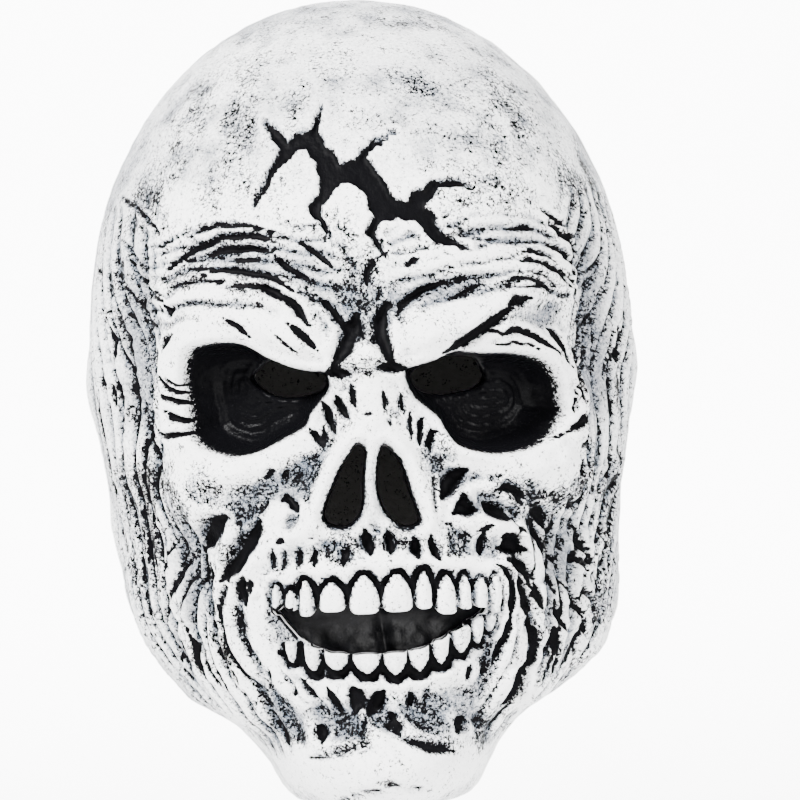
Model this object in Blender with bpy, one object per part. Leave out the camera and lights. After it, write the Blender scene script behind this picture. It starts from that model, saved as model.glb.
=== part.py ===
"""A full-head skull mask: one moulded latex casting, open at the neck, with a dark panel behind the teeth.

The face looks along -Y, +X is the viewer's right and Z is up. The origin is on the inside of the crown,
where the wearer's head carries the mask.

Places on the mask are given as an azimuth in degrees, 0 at the middle of the face and 90 at the
viewer's right ear, and as a drop, the share of FACE_HEIGHT below the brow line. A negative drop is above it.
"""

import math
from collections import namedtuple

import bmesh
import bpy
import numpy as np

# Driving sizes, in metres
HEAD_WIDTH = 0.183
FACE_DEPTH = 0.108
BACK_DEPTH = 0.100
DOME_HEIGHT = 0.1075
FACE_HEIGHT = 0.1615
WALL = 0.002

SOCKET_WIDTH = 0.047
SOCKET_HEIGHT = 0.038
SOCKET_DEPTH = 0.013
EYE_HOLE_WIDTH = 0.030
EYE_HOLE_HEIGHT = 0.0125
NOSTRIL_WIDTH = 0.0115
NOSTRIL_HEIGHT = 0.028
SEPTUM_WIDTH = 0.005
MOUTH_WIDTH = 0.070
MOUTH_HEIGHT = 0.0138
UPPER_TOOTH_HEIGHT = 0.013
LOWER_TOOTH_HEIGHT = 0.010
TOOTH_GAP = 0.0009
TOOTH_RISE = 0.0026
FORM_RISE = 0.005
FOLD_SPREAD = 0.010

PANEL_WALL = 0.0012
PANEL_OVERLAP = 0.008
PANEL_CLEARANCE = 0.0004
PANEL_SINK = 0.006

# Shares of the head's radius between which the cutters of the openings run through the wall
EYE_CUT = (0.70, 1.15)
FACE_CUT = (0.80, 1.20)

# Places on the face
SOCKET_AZIMUTH = 21.2
SOCKET_DROP = 0.189
SOCKET_TILT = 8.0
EYE_HOLE_AZIMUTH = 17.2
EYE_HOLE_DROP = 0.152
NOSTRIL_DROP = 0.352
MOUTH_DROP = 0.603

# Mesh density
FACE_SPREAD_DEG = 38.0
SIDE_SPREAD_DEG = 96.0
FACE_COLUMNS = 30
SIDE_COLUMNS = 7
BACK_COLUMNS = 9
DOME_ROWS = 8
FACE_ROWS = 20
JAW_ROWS = 12
JAW_START_DROP = 0.56

# Level sections from the brow line down over the chin and back under it. Widths are shares of
# HEAD_WIDTH, front of FACE_DEPTH and back of BACK_DEPTH; power is how square the front corner is.
Section = namedtuple("Section", "drop width front back power")
SECTIONS = (
    Section(0.000, 1.000, 1.000, 1.00, 2.35),
    Section(0.125, 0.998, 0.986, 0.99, 2.40),
    Section(0.280, 0.976, 0.968, 0.95, 2.40),
    Section(0.435, 0.940, 0.968, 0.89, 2.35),
    Section(0.557, 0.918, 0.972, 0.83, 2.30),
    Section(0.650, 0.869, 0.963, 0.78, 2.30),
    Section(0.737, 0.781, 0.954, 0.74, 2.30),
    Section(0.793, 0.690, 0.958, 0.72, 2.35),
    Section(0.848, 0.535, 0.968, 0.70, 2.45),
    Section(0.904, 0.445, 0.972, 0.69, 2.60),
    Section(0.954, 0.395, 0.949, 0.68, 2.60),
    Section(0.985, 0.365, 0.903, 0.67, 2.60),
    Section(0.997, 0.335, 0.843, 0.66, 2.60),
    Section(1.000, 0.295, 0.759, 0.65, 2.60),
    Section(0.985, 0.262, 0.685, 0.64, 2.60),
)
BACK_POWER = 2.1

# Where the neck rim runs, by azimuth: under the chin, up along the jaw and round the nape
RimPoint = namedtuple("RimPoint", "azimuth drop")
RIM = (
    RimPoint(27.0, 0.997),
    RimPoint(38.0, 0.960),
    RimPoint(50.0, 0.890),
    RimPoint(64.0, 0.825),
    RimPoint(78.0, 0.796),
    RimPoint(95.0, 0.786),
    RimPoint(130.0, 0.774),
    RimPoint(180.0, 0.755),
)

# Rounded masses, mirrored on both sides unless they lie on the middle. Sizes are shares of
# FACE_HEIGHT, tilt is in degrees and rise is a share of FORM_RISE; a negative rise is a hollow.
Mound = namedtuple("Mound", "azimuth drop half_width half_height tilt rise")
MOUNDS = (
    Mound(39.0, 0.355, 0.095, 0.075, -30, 1.00),
    Mound(50.0, 0.300, 0.100, 0.060, -18, 0.40),
    Mound(35.0, 0.500, 0.070, 0.095, 20, -0.70),
    Mound(0.0, 0.175, 0.055, 0.110, 0, 0.95),
    Mound(0.0, 0.520, 0.230, 0.120, 0, 0.60),
    Mound(0.0, 0.820, 0.190, 0.080, 0, -0.30),
    Mound(0.0, 0.925, 0.180, 0.075, 0, 0.85),
    Mound(52.0, 0.040, 0.110, 0.190, 0, -0.35),
    Mound(86.0, 0.130, 0.050, 0.100, 0, 0.50),
)

# Long folds and grooves from one place to another, mirrored on both sides. Bow lifts the middle and
# spread is the half width, as shares of FOLD_SPREAD; rise is a share of FORM_RISE.
Fold = namedtuple("Fold", "from_azimuth from_drop to_azimuth to_drop bow spread rise")
FOLDS = (
    Fold(34.0, 0.040, 7.0, 0.105, 0.5, 0.85, 1.10),
    Fold(32.0, -0.020, 5.0, 0.010, 0.9, 0.45, 0.55),
    Fold(34.0, -0.080, 8.0, -0.075, 0.7, 0.45, 0.45),
    Fold(30.0, -0.150, 6.0, -0.140, 0.5, 0.45, 0.30),
    Fold(1.5, 0.000, 2.5, 0.110, 0.0, 0.30, -0.55),
    Fold(4.0, 0.270, 11.0, 0.450, -0.1, 0.40, 0.75),
    Fold(24.0, 0.330, 14.0, 0.470, 0.1, 0.45, 0.35),
    Fold(31.0, 0.430, 27.0, 0.760, 0.6, 0.50, 0.65),
    Fold(36.0, 0.480, 30.0, 0.880, 0.8, 0.45, 0.55),
    Fold(46.0, 0.420, 44.0, 0.760, 0.6, 0.55, 0.45),
    Fold(58.0, 0.380, 56.0, 0.740, 0.4, 0.60, 0.40),
    Fold(50.0, -0.200, 60.0, 0.300, -0.6, 0.60, 0.40),
    Fold(64.0, -0.120, 72.0, 0.400, -0.5, 0.70, 0.35),
)

UPPER_TEETH = 11
LOWER_TEETH = 9
UPPER_TEETH_SPAN = 0.96
LOWER_TEETH_SPAN = 0.84

Finish = namedtuple("Finish", "colour roughness")
LATEX = Finish((0.86, 0.86, 0.85, 1.0), 0.45)
BLACK = Finish((0.012, 0.012, 0.014, 1.0), 0.55)

CHART_RADIUS = (HEAD_WIDTH / 2 + FACE_DEPTH) / 2


def smooth_through(knots, values, at):
    """Monotone cubic through the knots: it never overshoots a section."""
    knots, values = np.asarray(knots, float), np.asarray(values, float)
    step = np.diff(knots)
    slope = np.diff(values) / step
    tangent = np.concatenate([slope[:1], np.zeros(len(knots) - 2), slope[-1:]])
    before, after = 2 * step[1:] + step[:-1], step[1:] + 2 * step[:-1]
    same_way = slope[:-1] * slope[1:] > 0
    safe = [np.where(same_way, part, 1.0) for part in (slope[:-1], slope[1:])]
    harmonic = (before + after) / (before / safe[0] + after / safe[1])
    tangent[1:-1] = np.where(same_way, harmonic, 0.0)
    at = np.clip(at, knots[0], knots[-1])
    k = np.clip(np.searchsorted(knots, at) - 1, 0, len(knots) - 2)
    t = (at - knots[k]) / step[k]
    rise = values[k] * (2 * t**3 - 3 * t**2 + 1) + values[k + 1] * (3 * t**2 - 2 * t**3)
    return rise + step[k] * (tangent[k] * (t**3 - 2 * t**2 + t) + tangent[k + 1] * (t**3 - t**2))


def profile_stations():
    """Length along the middle of the face, from the brow line down, at which each section lies."""
    drops = np.array([s.drop for s in SECTIONS]) * FACE_HEIGHT
    fronts = np.array([s.front for s in SECTIONS]) * FACE_DEPTH
    return np.concatenate([[0.0], np.cumsum(np.hypot(np.diff(drops), np.diff(fronts)))])


STATIONS = profile_stations()
LOWEST = max(range(len(SECTIONS)), key=lambda i: SECTIONS[i].drop)


def station_of(drop):
    """The station at a drop on the way down to the underside of the chin."""
    return np.interp(drop, [s.drop for s in SECTIONS[: LOWEST + 1]], STATIONS[: LOWEST + 1])


def dome_station(drop):
    """The station at a drop above the brow line: 0 at the brow line and -1 at the crown."""
    return np.arccos(np.clip(-drop * FACE_HEIGHT / DOME_HEIGHT, -1, 1)) / (math.pi / 2) - 1


def skin(azimuth, station):
    """Points of the smooth head under all relief, from azimuths in radians and stations.

    A level section is a superellipse in polar form, so equal azimuth steps stay evenly spread. From the
    brow line up, the section shrinks as the sine and rises as the cosine of one quarter turn.
    """
    azimuth, station = np.broadcast_arrays(np.asarray(azimuth, float), np.asarray(station, float))
    below = np.maximum(station, 0)
    width, front, back, power, drop = (
        smooth_through(STATIONS, [getattr(s, column) for s in SECTIONS], below)
        for column in ("width", "front", "back", "power", "drop")
    )
    quarter = np.clip(1 + np.minimum(station, 0), 0, 1) * math.pi / 2
    ahead = np.cos(azimuth) > 0
    reach = np.where(ahead, front * FACE_DEPTH, back * BACK_DEPTH)
    power = np.where(ahead, power, BACK_POWER)
    across = np.abs(np.sin(azimuth)) / (width * HEAD_WIDTH / 2)
    along = np.abs(np.cos(azimuth)) / reach
    radius = (across**power + along**power) ** (-1 / power)
    radius = radius * np.where(station < 0, np.sin(quarter), 1)
    height = np.where(station < 0, DOME_HEIGHT * np.cos(quarter), -drop * FACE_HEIGHT)
    return np.stack([radius * np.sin(azimuth), -radius * np.cos(azimuth), height], -1)


def outward(azimuth, station):
    """Unit normals of the smooth head, from small steps each way."""
    turn = 1e-3
    step = np.where(np.asarray(station) < 0, 1e-3, 1e-4)
    around = skin(azimuth + turn, station) - skin(azimuth - turn, station)
    down = skin(azimuth, station + step) - skin(azimuth, station - step)
    normal = np.cross(down, around)
    return normal / np.linalg.norm(normal, axis=-1, keepdims=True)


def chart(azimuth_deg, drop):
    """A place as lengths across and up, on the mask unrolled at CHART_RADIUS."""
    return math.radians(azimuth_deg) * CHART_RADIUS, -drop * FACE_HEIGHT


def turned(across, up, tilt_deg):
    """Lengths along and square to an axis that tilts up by tilt_deg."""
    c, s = math.cos(math.radians(tilt_deg)), math.sin(math.radians(tilt_deg))
    return across * c + up * s, up * c - across * s


def mound_relief(across, up):
    """All rounded masses and hollows, as bell shapes."""
    total = np.zeros_like(across)
    for m in MOUNDS:
        for side in (1, -1) if m.azimuth else (1,):
            x, z = chart(m.azimuth, m.drop)
            a, b = turned(side * across - x, up - z, m.tilt)
            bell = np.exp(-((a / m.half_width) ** 2 + (b / m.half_height) ** 2) / FACE_HEIGHT**2)
            total += m.rise * FORM_RISE * bell
    return total


def fold_relief(across, up):
    """All long folds, as bell-sided ridges that fade out at both ends."""
    total = np.zeros_like(across)
    for f in FOLDS:
        start = np.array(chart(f.from_azimuth, f.from_drop))
        run = np.array(chart(f.to_azimuth, f.to_drop)) - start
        length = np.linalg.norm(run)
        along_unit = run / length
        for side in (1, -1):
            x, z = side * across - start[0], up - start[1]
            t = (x * along_unit[0] + z * along_unit[1]) / length
            off = x * -along_unit[1] + z * along_unit[0]
            off = off * np.sign(along_unit[0] or 1) - f.bow * FOLD_SPREAD * 4 * t * (1 - t)
            overrun = np.maximum(np.abs(t - 0.5) - 0.5, 0) * length
            reach = (off**2 + overrun**2) / (f.spread * FOLD_SPREAD) ** 2
            total += f.rise * FORM_RISE * np.exp(-reach)
    return total


def socket_relief(across, up):
    """The eye sockets: deep pans with steep walls and a rounded, slightly tilted outline."""
    total = np.zeros_like(across)
    x, z = chart(SOCKET_AZIMUTH, SOCKET_DROP)
    for side in (1, -1):
        a, b = turned(side * across - x, up - z, SOCKET_TILT)
        q = (np.abs(a / (SOCKET_WIDTH / 2)) ** 2.6 + np.abs(b / (SOCKET_HEIGHT / 2)) ** 2.6) ** (1 / 2.6)
        wall = np.clip((1.06 - q) / 0.42, 0, 1)
        total -= SOCKET_DEPTH * wall * wall * (3 - 2 * wall)
    return total


def relief(azimuth, drop):
    """How far the moulded surface stands proud of the smooth head."""
    across, up = azimuth * CHART_RADIUS, -drop * FACE_HEIGHT
    fade = np.clip((1.02 - np.abs(azimuth) / math.pi) / 0.25, 0, 1)
    forms = mound_relief(across, up) + fold_relief(across, up)
    return forms * fade + socket_relief(across, up)


def rim_station(azimuth):
    """The station at which the wall ends in the neck rim."""
    away = np.degrees(np.abs(azimuth))
    knots = [0.0, RIM[0].azimuth * 0.7] + [p.azimuth for p in RIM]
    ends = [STATIONS[-1], STATIONS[-1]] + [station_of(p.drop) for p in RIM]
    return smooth_through(knots, ends, away)


def column_azimuths():
    """Azimuths of the mesh columns, close together over the face and wide apart behind."""
    face = np.linspace(-FACE_SPREAD_DEG, FACE_SPREAD_DEG, FACE_COLUMNS + 1)
    side = np.linspace(FACE_SPREAD_DEG, SIDE_SPREAD_DEG, SIDE_COLUMNS + 1)[1:]
    back = np.linspace(SIDE_SPREAD_DEG, 360 - SIDE_SPREAD_DEG, BACK_COLUMNS + 1)[1:-1]
    turn = np.concatenate([face, side, back, -side[::-1]])
    return np.radians((turn + 180) % 360 - 180)


def row_stations(azimuths):
    """Stations of the mesh rows for every column: level down to the jaw, then drawn to the rim."""
    dome = np.linspace(-1, 0, DOME_ROWS + 1)[1:]
    jaw_start = station_of(JAW_START_DROP)
    face = np.linspace(0, jaw_start, FACE_ROWS + 1)[1:]
    level = np.repeat(np.concatenate([dome, face])[:, None], len(azimuths), axis=1)
    share = np.linspace(0, 1, JAW_ROWS + 1)[1:, None]
    return np.vstack([level, jaw_start + share * (rim_station(azimuths) - jaw_start)])


def to_part(points):
    """Moves points from the brow line down to the frame whose origin is the inside of the crown."""
    return points - np.array([0, 0, DOME_HEIGHT - WALL])


def drop_of(station):
    """Drop of a station, negative on the dome."""
    below = smooth_through(STATIONS, [s.drop for s in SECTIONS], np.maximum(station, 0))
    rise = np.cos(np.clip(1 + np.minimum(station, 0), 0, 1) * math.pi / 2) * DOME_HEIGHT
    return np.where(station < 0, -rise / FACE_HEIGHT, below)


def wall_points(azimuth, station, depth):
    """Points at a depth below the moulded surface; steep relief is set deeper to keep the wall."""
    here = relief(azimuth, drop_of(station))
    turn, step = 0.01, np.where(station < 0, 0.01, 0.001)
    tall = np.abs(relief(azimuth, drop_of(station + step)) - here)
    wide = np.abs(relief(azimuth + turn, drop_of(station)) - here)
    slope = np.hypot(tall / np.where(station < 0, 0.01 * 0.16, 0.001), wide / (turn * CHART_RADIUS))
    thicken = np.minimum(np.sqrt(1 + slope**2), 1.7)
    offset = (here - depth * thicken)[..., None] * outward(azimuth, station)
    return to_part(skin(azimuth, station) + offset)


def new_object(name, bm, finish):
    """Links the mesh under its node name, with its own material."""
    bmesh.ops.recalc_face_normals(bm, faces=bm.faces)
    bmesh.ops.triangulate(bm, faces=bm.faces)
    mesh = bpy.data.meshes.new(name)
    bm.to_mesh(mesh)
    bm.free()
    material = bpy.data.materials.new(name)
    material.use_nodes = True
    shader = material.node_tree.nodes["Principled BSDF"]
    shader.inputs["Base Color"].default_value = finish.colour
    shader.inputs["Roughness"].default_value = finish.roughness
    mesh.materials.append(material)
    mesh.shade_smooth()
    mesh.set_sharp_from_angle(angle=math.radians(40))
    obj = bpy.data.objects.new(name, mesh)
    bpy.context.scene.collection.objects.link(obj)
    return obj


def add_rings(bm, points):
    """Vertices of a grid of points, as rows of vertices."""
    return [[bm.verts.new(p) for p in row] for row in points]


def bridge_rings(bm, upper, lower):
    """Quads between two closed rings of equal length."""
    count = len(upper)
    for i in range(count):
        j = (i + 1) % count
        bm.faces.new((upper[i], upper[j], lower[j], lower[i]))


def shell_bmesh():
    """The casting's outer and inner walls, closed at the crown and joined along the neck rim."""
    azimuths = column_azimuths()
    stations = row_stations(azimuths)
    bm = bmesh.new()
    walls = []
    for depth in (0.0, WALL):
        rings = add_rings(bm, wall_points(azimuths[None, :] + 0 * stations, stations, depth))
        crown = bm.verts.new(to_part(np.array([0, 0, DOME_HEIGHT - depth])))
        for i in range(len(azimuths)):
            bm.faces.new((crown, rings[0][i], rings[0][(i + 1) % len(azimuths)]))
        for upper, lower in zip(rings, rings[1:]):
            bridge_rings(bm, upper, lower)
        walls.append(rings)
    bridge_rings(bm, walls[0][-1], walls[1][-1])
    return bm


def radial_plug(bm, outline, shares):
    """A closed plug through the wall: the outline in chart places, at two shares of the head's radius."""
    azimuths = np.array([a for a, _ in outline]) / CHART_RADIUS
    stations = station_of(-np.array([z for _, z in outline]) / FACE_HEIGHT)
    surface = skin(azimuths, stations)
    rings = []
    for share in shares:
        rings.append([bm.verts.new(p) for p in to_part(surface * [share, share, 1])])
    bridge_rings(bm, rings[0], rings[1])
    bm.faces.new(rings[0])
    bm.faces.new(rings[1][::-1])


def eye_outline(side, points=20):
    """An angry lens: the top edge slants down to the nose, the bottom edge is a shallow bow."""
    x, z = chart(EYE_HOLE_AZIMUTH, EYE_HOLE_DROP)
    turns = np.linspace(0, 2 * math.pi, points, endpoint=False)
    a = np.cos(turns) * EYE_HOLE_WIDTH / 2
    b = np.sin(turns) * EYE_HOLE_HEIGHT / 2 * (1 + 0.12 * np.cos(turns))
    slant = math.tan(math.radians(SOCKET_TILT)) * 0.5
    return [(side * (x + u), z + v + slant * u) for u, v in zip(a, b)]


def nostril_outline(side, points=14):
    """A tall rounded triangle beside the septum, with its point at the top."""
    x = SEPTUM_WIDTH / 2
    _, z = chart(0, NOSTRIL_DROP)
    heights = np.linspace(-1, 1, points // 2)
    outer = [(x + NOSTRIL_WIDTH * (0.22 + 0.78 * (1 - (h + 1) / 2) ** 0.8), h) for h in heights]
    inner = [(x + NOSTRIL_WIDTH * 0.02 * (1 + h), h) for h in heights[::-1]]
    return [(side * a, z + h * NOSTRIL_HEIGHT / 2) for a, h in outer + inner]


def mouth_edge(across, lower):
    """Height of the mouth's upper or lower edge at a length across: a broad smile."""
    share = np.clip(np.abs(across) / (MOUTH_WIDTH / 2), 0, 1)
    _, z = chart(0, MOUTH_DROP)
    return z - (MOUTH_HEIGHT * (1 - share**2.4) if lower else 0.0005 * np.sin(share * math.pi))


def mouth_outline(points=13):
    """The open smile, flat along the upper teeth and bowed along the lower ones."""
    across = np.sin(np.linspace(-math.pi / 2, math.pi / 2, points)) * MOUTH_WIDTH / 2
    top = [(a, mouth_edge(a, False)) for a in across]
    bottom = [(a, mouth_edge(a, True)) for a in across[-2:0:-1]]
    return top + bottom


def cut_openings(shell):
    """Cuts the eye holes, nostrils and mouth through the wall."""
    bm = bmesh.new()
    for side in (1, -1):
        radial_plug(bm, eye_outline(side), EYE_CUT)
        radial_plug(bm, nostril_outline(side), FACE_CUT)
    radial_plug(bm, mouth_outline(), FACE_CUT)
    cutter = new_object("opening_cutters", bm, BLACK)
    cutter.hide_render = True
    cutter.display_type = "WIRE"
    cut = shell.modifiers.new("openings", "BOOLEAN")
    cut.operation = "DIFFERENCE"
    cut.object = cutter


def add_tooth(bm, centre, width, root, edge):
    """One tooth as a tapered block: wide at its biting edge, narrow at its root, bulging forward."""
    rows = ((0.0, 1.00, 0.55), (0.35, 0.96, 1.0), (0.75, 0.66, 0.85), (1.0, 0.30, 0.2))
    rings = []
    for share, spread, rise in rows:
        height = edge + (root - edge) * share
        ring = []
        for sx, proud in ((-0.5, 0.0), (-0.28, 1.0), (0.28, 1.0), (0.5, 0.0)):
            place = (centre + sx * width * spread, height)
            ring.append((place, TOOTH_RISE * rise * (0.35 + 0.65 * proud)))
        ring += [((p[0][0], p[0][1]), -WALL * 0.75) for p in (ring[3], ring[0])]
        rings.append(ring)
    made = []
    for ring in rings:
        azimuths = np.array([p[0][0] for p in ring]) / CHART_RADIUS
        stations = station_of(-np.array([p[0][1] for p in ring]) / FACE_HEIGHT)
        proud = np.array([p[1] for p in ring])
        base = skin(azimuths, stations)
        lift = relief(azimuths, drop_of(stations)) + proud
        made.append([bm.verts.new(v) for v in to_part(base + lift[:, None] * outward(azimuths, stations))])
    for upper, lower in zip(made, made[1:]):
        bridge_rings(bm, upper, lower)
    bm.faces.new(made[0])
    bm.faces.new(made[-1][::-1])


def tooth_row(bm, count, span, height, lower):
    """A row of teeth spread along one edge of the mouth."""
    total = MOUTH_WIDTH * span
    pitch = total / count
    for i in range(count):
        centre = -total / 2 + (i + 0.5) * pitch
        edge = float(mouth_edge(centre, lower))
        grow = 1 - 0.35 * abs(centre) / (total / 2)
        bite = -0.0006 if lower else 0.0006
        root = edge + (-height if lower else height) * grow
        add_tooth(bm, centre, pitch - TOOTH_GAP, root, edge - bite)


def join_teeth(shell):
    """Joins both rows of teeth to the gums, as they are cast."""
    bm = bmesh.new()
    tooth_row(bm, UPPER_TEETH, UPPER_TEETH_SPAN, UPPER_TOOTH_HEIGHT, False)
    tooth_row(bm, LOWER_TEETH, LOWER_TEETH_SPAN, LOWER_TOOTH_HEIGHT, True)
    teeth = new_object("tooth_rows", bm, LATEX)
    teeth.hide_render = True
    teeth.display_type = "WIRE"
    join = shell.modifiers.new("teeth", "BOOLEAN")
    join.operation = "UNION"
    join.object = teeth


def build_shell():
    """The white latex casting."""
    shell = new_object("mask_shell", shell_bmesh(), LATEX)
    cut_openings(shell)
    join_teeth(shell)
    return shell


def build_panel():
    """The dark panel glued behind the mouth: a curved sheet that dips away behind the opening."""
    half_width = MOUTH_WIDTH / 2 + PANEL_OVERLAP
    top = float(mouth_edge(0.0, False)) + PANEL_OVERLAP
    bottom = float(mouth_edge(0.0, True)) - PANEL_OVERLAP
    across, up = np.meshgrid(np.linspace(-half_width, half_width, 13), np.linspace(top, bottom, 7))
    azimuth, station = across / CHART_RADIUS, station_of(-up / FACE_HEIGHT)
    dip = np.cos(across / half_width * math.pi / 2) * np.cos((up - (top + bottom) / 2) / (top - bottom) * math.pi)
    bm = bmesh.new()
    faces = []
    for depth in (0.0, PANEL_WALL):
        back = WALL * 1.7 + PANEL_CLEARANCE + PANEL_SINK * np.maximum(dip, 0) + depth
        offset = (relief(azimuth, drop_of(station)) - back)[..., None]
        faces.append(add_rings(bm, to_part(skin(azimuth, station) + offset * outward(azimuth, station))))
    for grid in faces:
        for upper, lower in zip(grid, grid[1:]):
            for i in range(len(upper) - 1):
                bm.faces.new((upper[i], upper[i + 1], lower[i + 1], lower[i]))
    edges = []
    for grid in faces:
        right = [row[-1] for row in grid[1:]]
        left = [row[0] for row in grid[-2:0:-1]]
        edges.append(grid[0] + right + grid[-1][-2::-1] + left)
    bridge_rings(bm, edges[0], edges[1])
    return new_object("mouth_panel", bm, BLACK)


def main():
    for obj in list(bpy.data.objects):
        bpy.data.objects.remove(obj)
    build_shell()
    build_panel()


main()
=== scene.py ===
import math
from collections import namedtuple

import bpy
import numpy as np
from mathutils import Matrix, Vector


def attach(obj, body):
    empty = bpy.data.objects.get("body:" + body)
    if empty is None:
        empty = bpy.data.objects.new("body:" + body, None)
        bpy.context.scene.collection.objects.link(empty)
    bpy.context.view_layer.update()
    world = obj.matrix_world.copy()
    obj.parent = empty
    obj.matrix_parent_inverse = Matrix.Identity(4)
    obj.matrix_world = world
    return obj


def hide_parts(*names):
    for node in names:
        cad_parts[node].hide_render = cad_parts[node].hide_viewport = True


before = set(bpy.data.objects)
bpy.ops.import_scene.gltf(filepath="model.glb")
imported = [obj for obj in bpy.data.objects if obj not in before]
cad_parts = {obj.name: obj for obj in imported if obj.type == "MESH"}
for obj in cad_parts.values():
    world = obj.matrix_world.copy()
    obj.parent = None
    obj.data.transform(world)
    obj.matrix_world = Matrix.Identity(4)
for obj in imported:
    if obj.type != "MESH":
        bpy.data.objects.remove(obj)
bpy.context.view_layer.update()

# Places on the mask are charted in millimetres: u runs along the azimuth from the middle of the face,
# towards the viewer's right, and v is the height above the middle of the eye sockets. Under the chin
# v goes on falling along the surface.
chartRadius = 100.0
head = {
    "width": 183.0,
    "frontDepth": 108.0,
    "backDepth": 100.0,
    "domeHeight": 107.5,
    "browHeight": 30.0,
    "faceHeight": 161.5,
    "crownHeight": 135.5,
    "backPower": 2.1,
    "innerDepth": 3.0,
}
# Spacing of the wall's points in mm, at the places given: columns by distance from the middle of the
# face, rows down the dome, down the face and round the jaw
outerGrid = {
    "columnPlaces": [0, 58, 84, 118, 180, 314],
    "columns": [0.88, 0.88, 1.1, 1.6, 4.5, 6.0],
    "dome": [4.2, 3.8, 2.0, 1.2, 0.9],
    "face": [0.9, 0.88, 0.88, 0.88],
    "low": [0.88, 0.88, 1.1, 2.2, 2.4],
}
innerGrid = {
    "columnPlaces": [0, 18, 60, 84, 180, 314],
    "columns": [1.5, 1.5, 2.6, 5.0, 9.0, 10.0],
    "dome": [11.0, 10.0, 8.0, 6.0, 4.0],
    "face": [3.0, 2.0, 1.9, 2.4],
    "low": [2.0, 3.0, 4.0, 6.0, 6.0],
}
latex = {
    "white": (0.90, 0.90, 0.895, 1.0),
    "shade": (0.17, 0.18, 0.20, 1.0),
    "smudge": (0.10, 0.12, 0.15, 1.0),
    "ink": (0.0018, 0.0018, 0.0022, 1.0),
    "inkFloor": (0.009, 0.009, 0.011, 1.0),
    # Near black for the inner wall: painted shade for the unlit inside of the mask
    "darkInsideShade": (0.032, 0.031, 0.030, 1.0),
    "roughness": 0.48,
    "mottle": 1.1,
    "mostShade": 0.92,
}

# Level sections from the brow line down: drop as a share of the face height, widths and depths as
# shares of the head's, and how square the front corner is.
Section = namedtuple("Section", "drop width front back power")
sections = [Section(*row) for row in (
    (0.000, 1.000, 1.000, 1.00, 2.35),
    (0.125, 0.998, 0.986, 0.99, 2.40),
    (0.280, 0.976, 0.968, 0.95, 2.40),
    (0.435, 0.940, 0.968, 0.89, 2.35),
    (0.557, 0.918, 0.972, 0.83, 2.30),
    (0.650, 0.869, 0.963, 0.78, 2.30),
    (0.737, 0.781, 0.954, 0.74, 2.30),
    (0.793, 0.690, 0.958, 0.72, 2.35),
    (0.848, 0.535, 0.968, 0.70, 2.45),
    (0.904, 0.445, 0.972, 0.69, 2.60),
    (0.954, 0.395, 0.949, 0.68, 2.60),
    (0.985, 0.365, 0.903, 0.67, 2.60),
    (0.997, 0.335, 0.843, 0.66, 2.60),
    (1.000, 0.295, 0.759, 0.65, 2.60),
    (0.985, 0.262, 0.685, 0.64, 2.60),
)]
RimPoint = namedtuple("RimPoint", "azimuth drop")
neckRim = [RimPoint(*row) for row in (
    (27.0, 0.997),
    (38.0, 0.960),
    (50.0, 0.890),
    (64.0, 0.825),
    (78.0, 0.796),
    (95.0, 0.786),
    (130.0, 0.774),
    (180.0, 0.755),
)]

# Rounded masses: place, half sizes in mm, tilt in degrees, height in mm
Mound = namedtuple("Mound", "u v halfWidth halfHeight tilt height")
mounds = [Mound(*row) for row in (
    (-58, -26, 15, 11, 30, 6.5),
    (61, -26, 15, 12, -30, 6.5),
    (-86, -14, 16, 11, 18, 2.4),
    (88, -14, 16, 11, -18, 2.4),
    (-62, -53, 10, 16, 20, -5.5),
    (64, -54, 10, 16, -20, -5.0),
    (-1, 2, 9, 16, 0, 6.0),
    (0, -56, 38, 18, 0, 4.0),
    (0, -101, 30, 9, 0, -2.6),
    (-1, -119, 28, 11, 0, 5.2),
    (-80, 22, 9, 30, 0, -3.6),
    (80, 22, 9, 30, 0, -3.6),
    (-112, 14, 12, 30, 0, 2.6),
    (112, 14, 12, 30, 0, 2.6),
    (-148, 9, 8, 16, 0, 3.4),
    (148, 9, 8, 16, 0, 3.4),
    (104, -82, 20, 11, 0, 3.8),
    (146, -76, 24, 13, 0, 3.6),
    (-102, -70, 16, 14, 0, 2.4),
    (-146, -40, 22, 9, 0, 1.6),
    (146, -30, 22, 9, 0, -1.6),
    (-28.5, -37.5, 6.5, 6.5, 0, 4.0),
    (-26, -38, 2.2, 3.4, -20, -3.5),
    (17, 19, 12, 8, 20, 3.2),
    (-20, 18, 10, 6, -25, 2.4),
    (-2, 14.5, 4.8, 4.5, 0, 3.4),
    (-26, -22, 9, 8, 0, -2.4),
    (27, -25, 9, 7, 0, -2.4),
    (-30, 66, 30, 12, 0, 1.6),
    (34, 62, 30, 12, 0, 1.6),
)]

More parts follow.
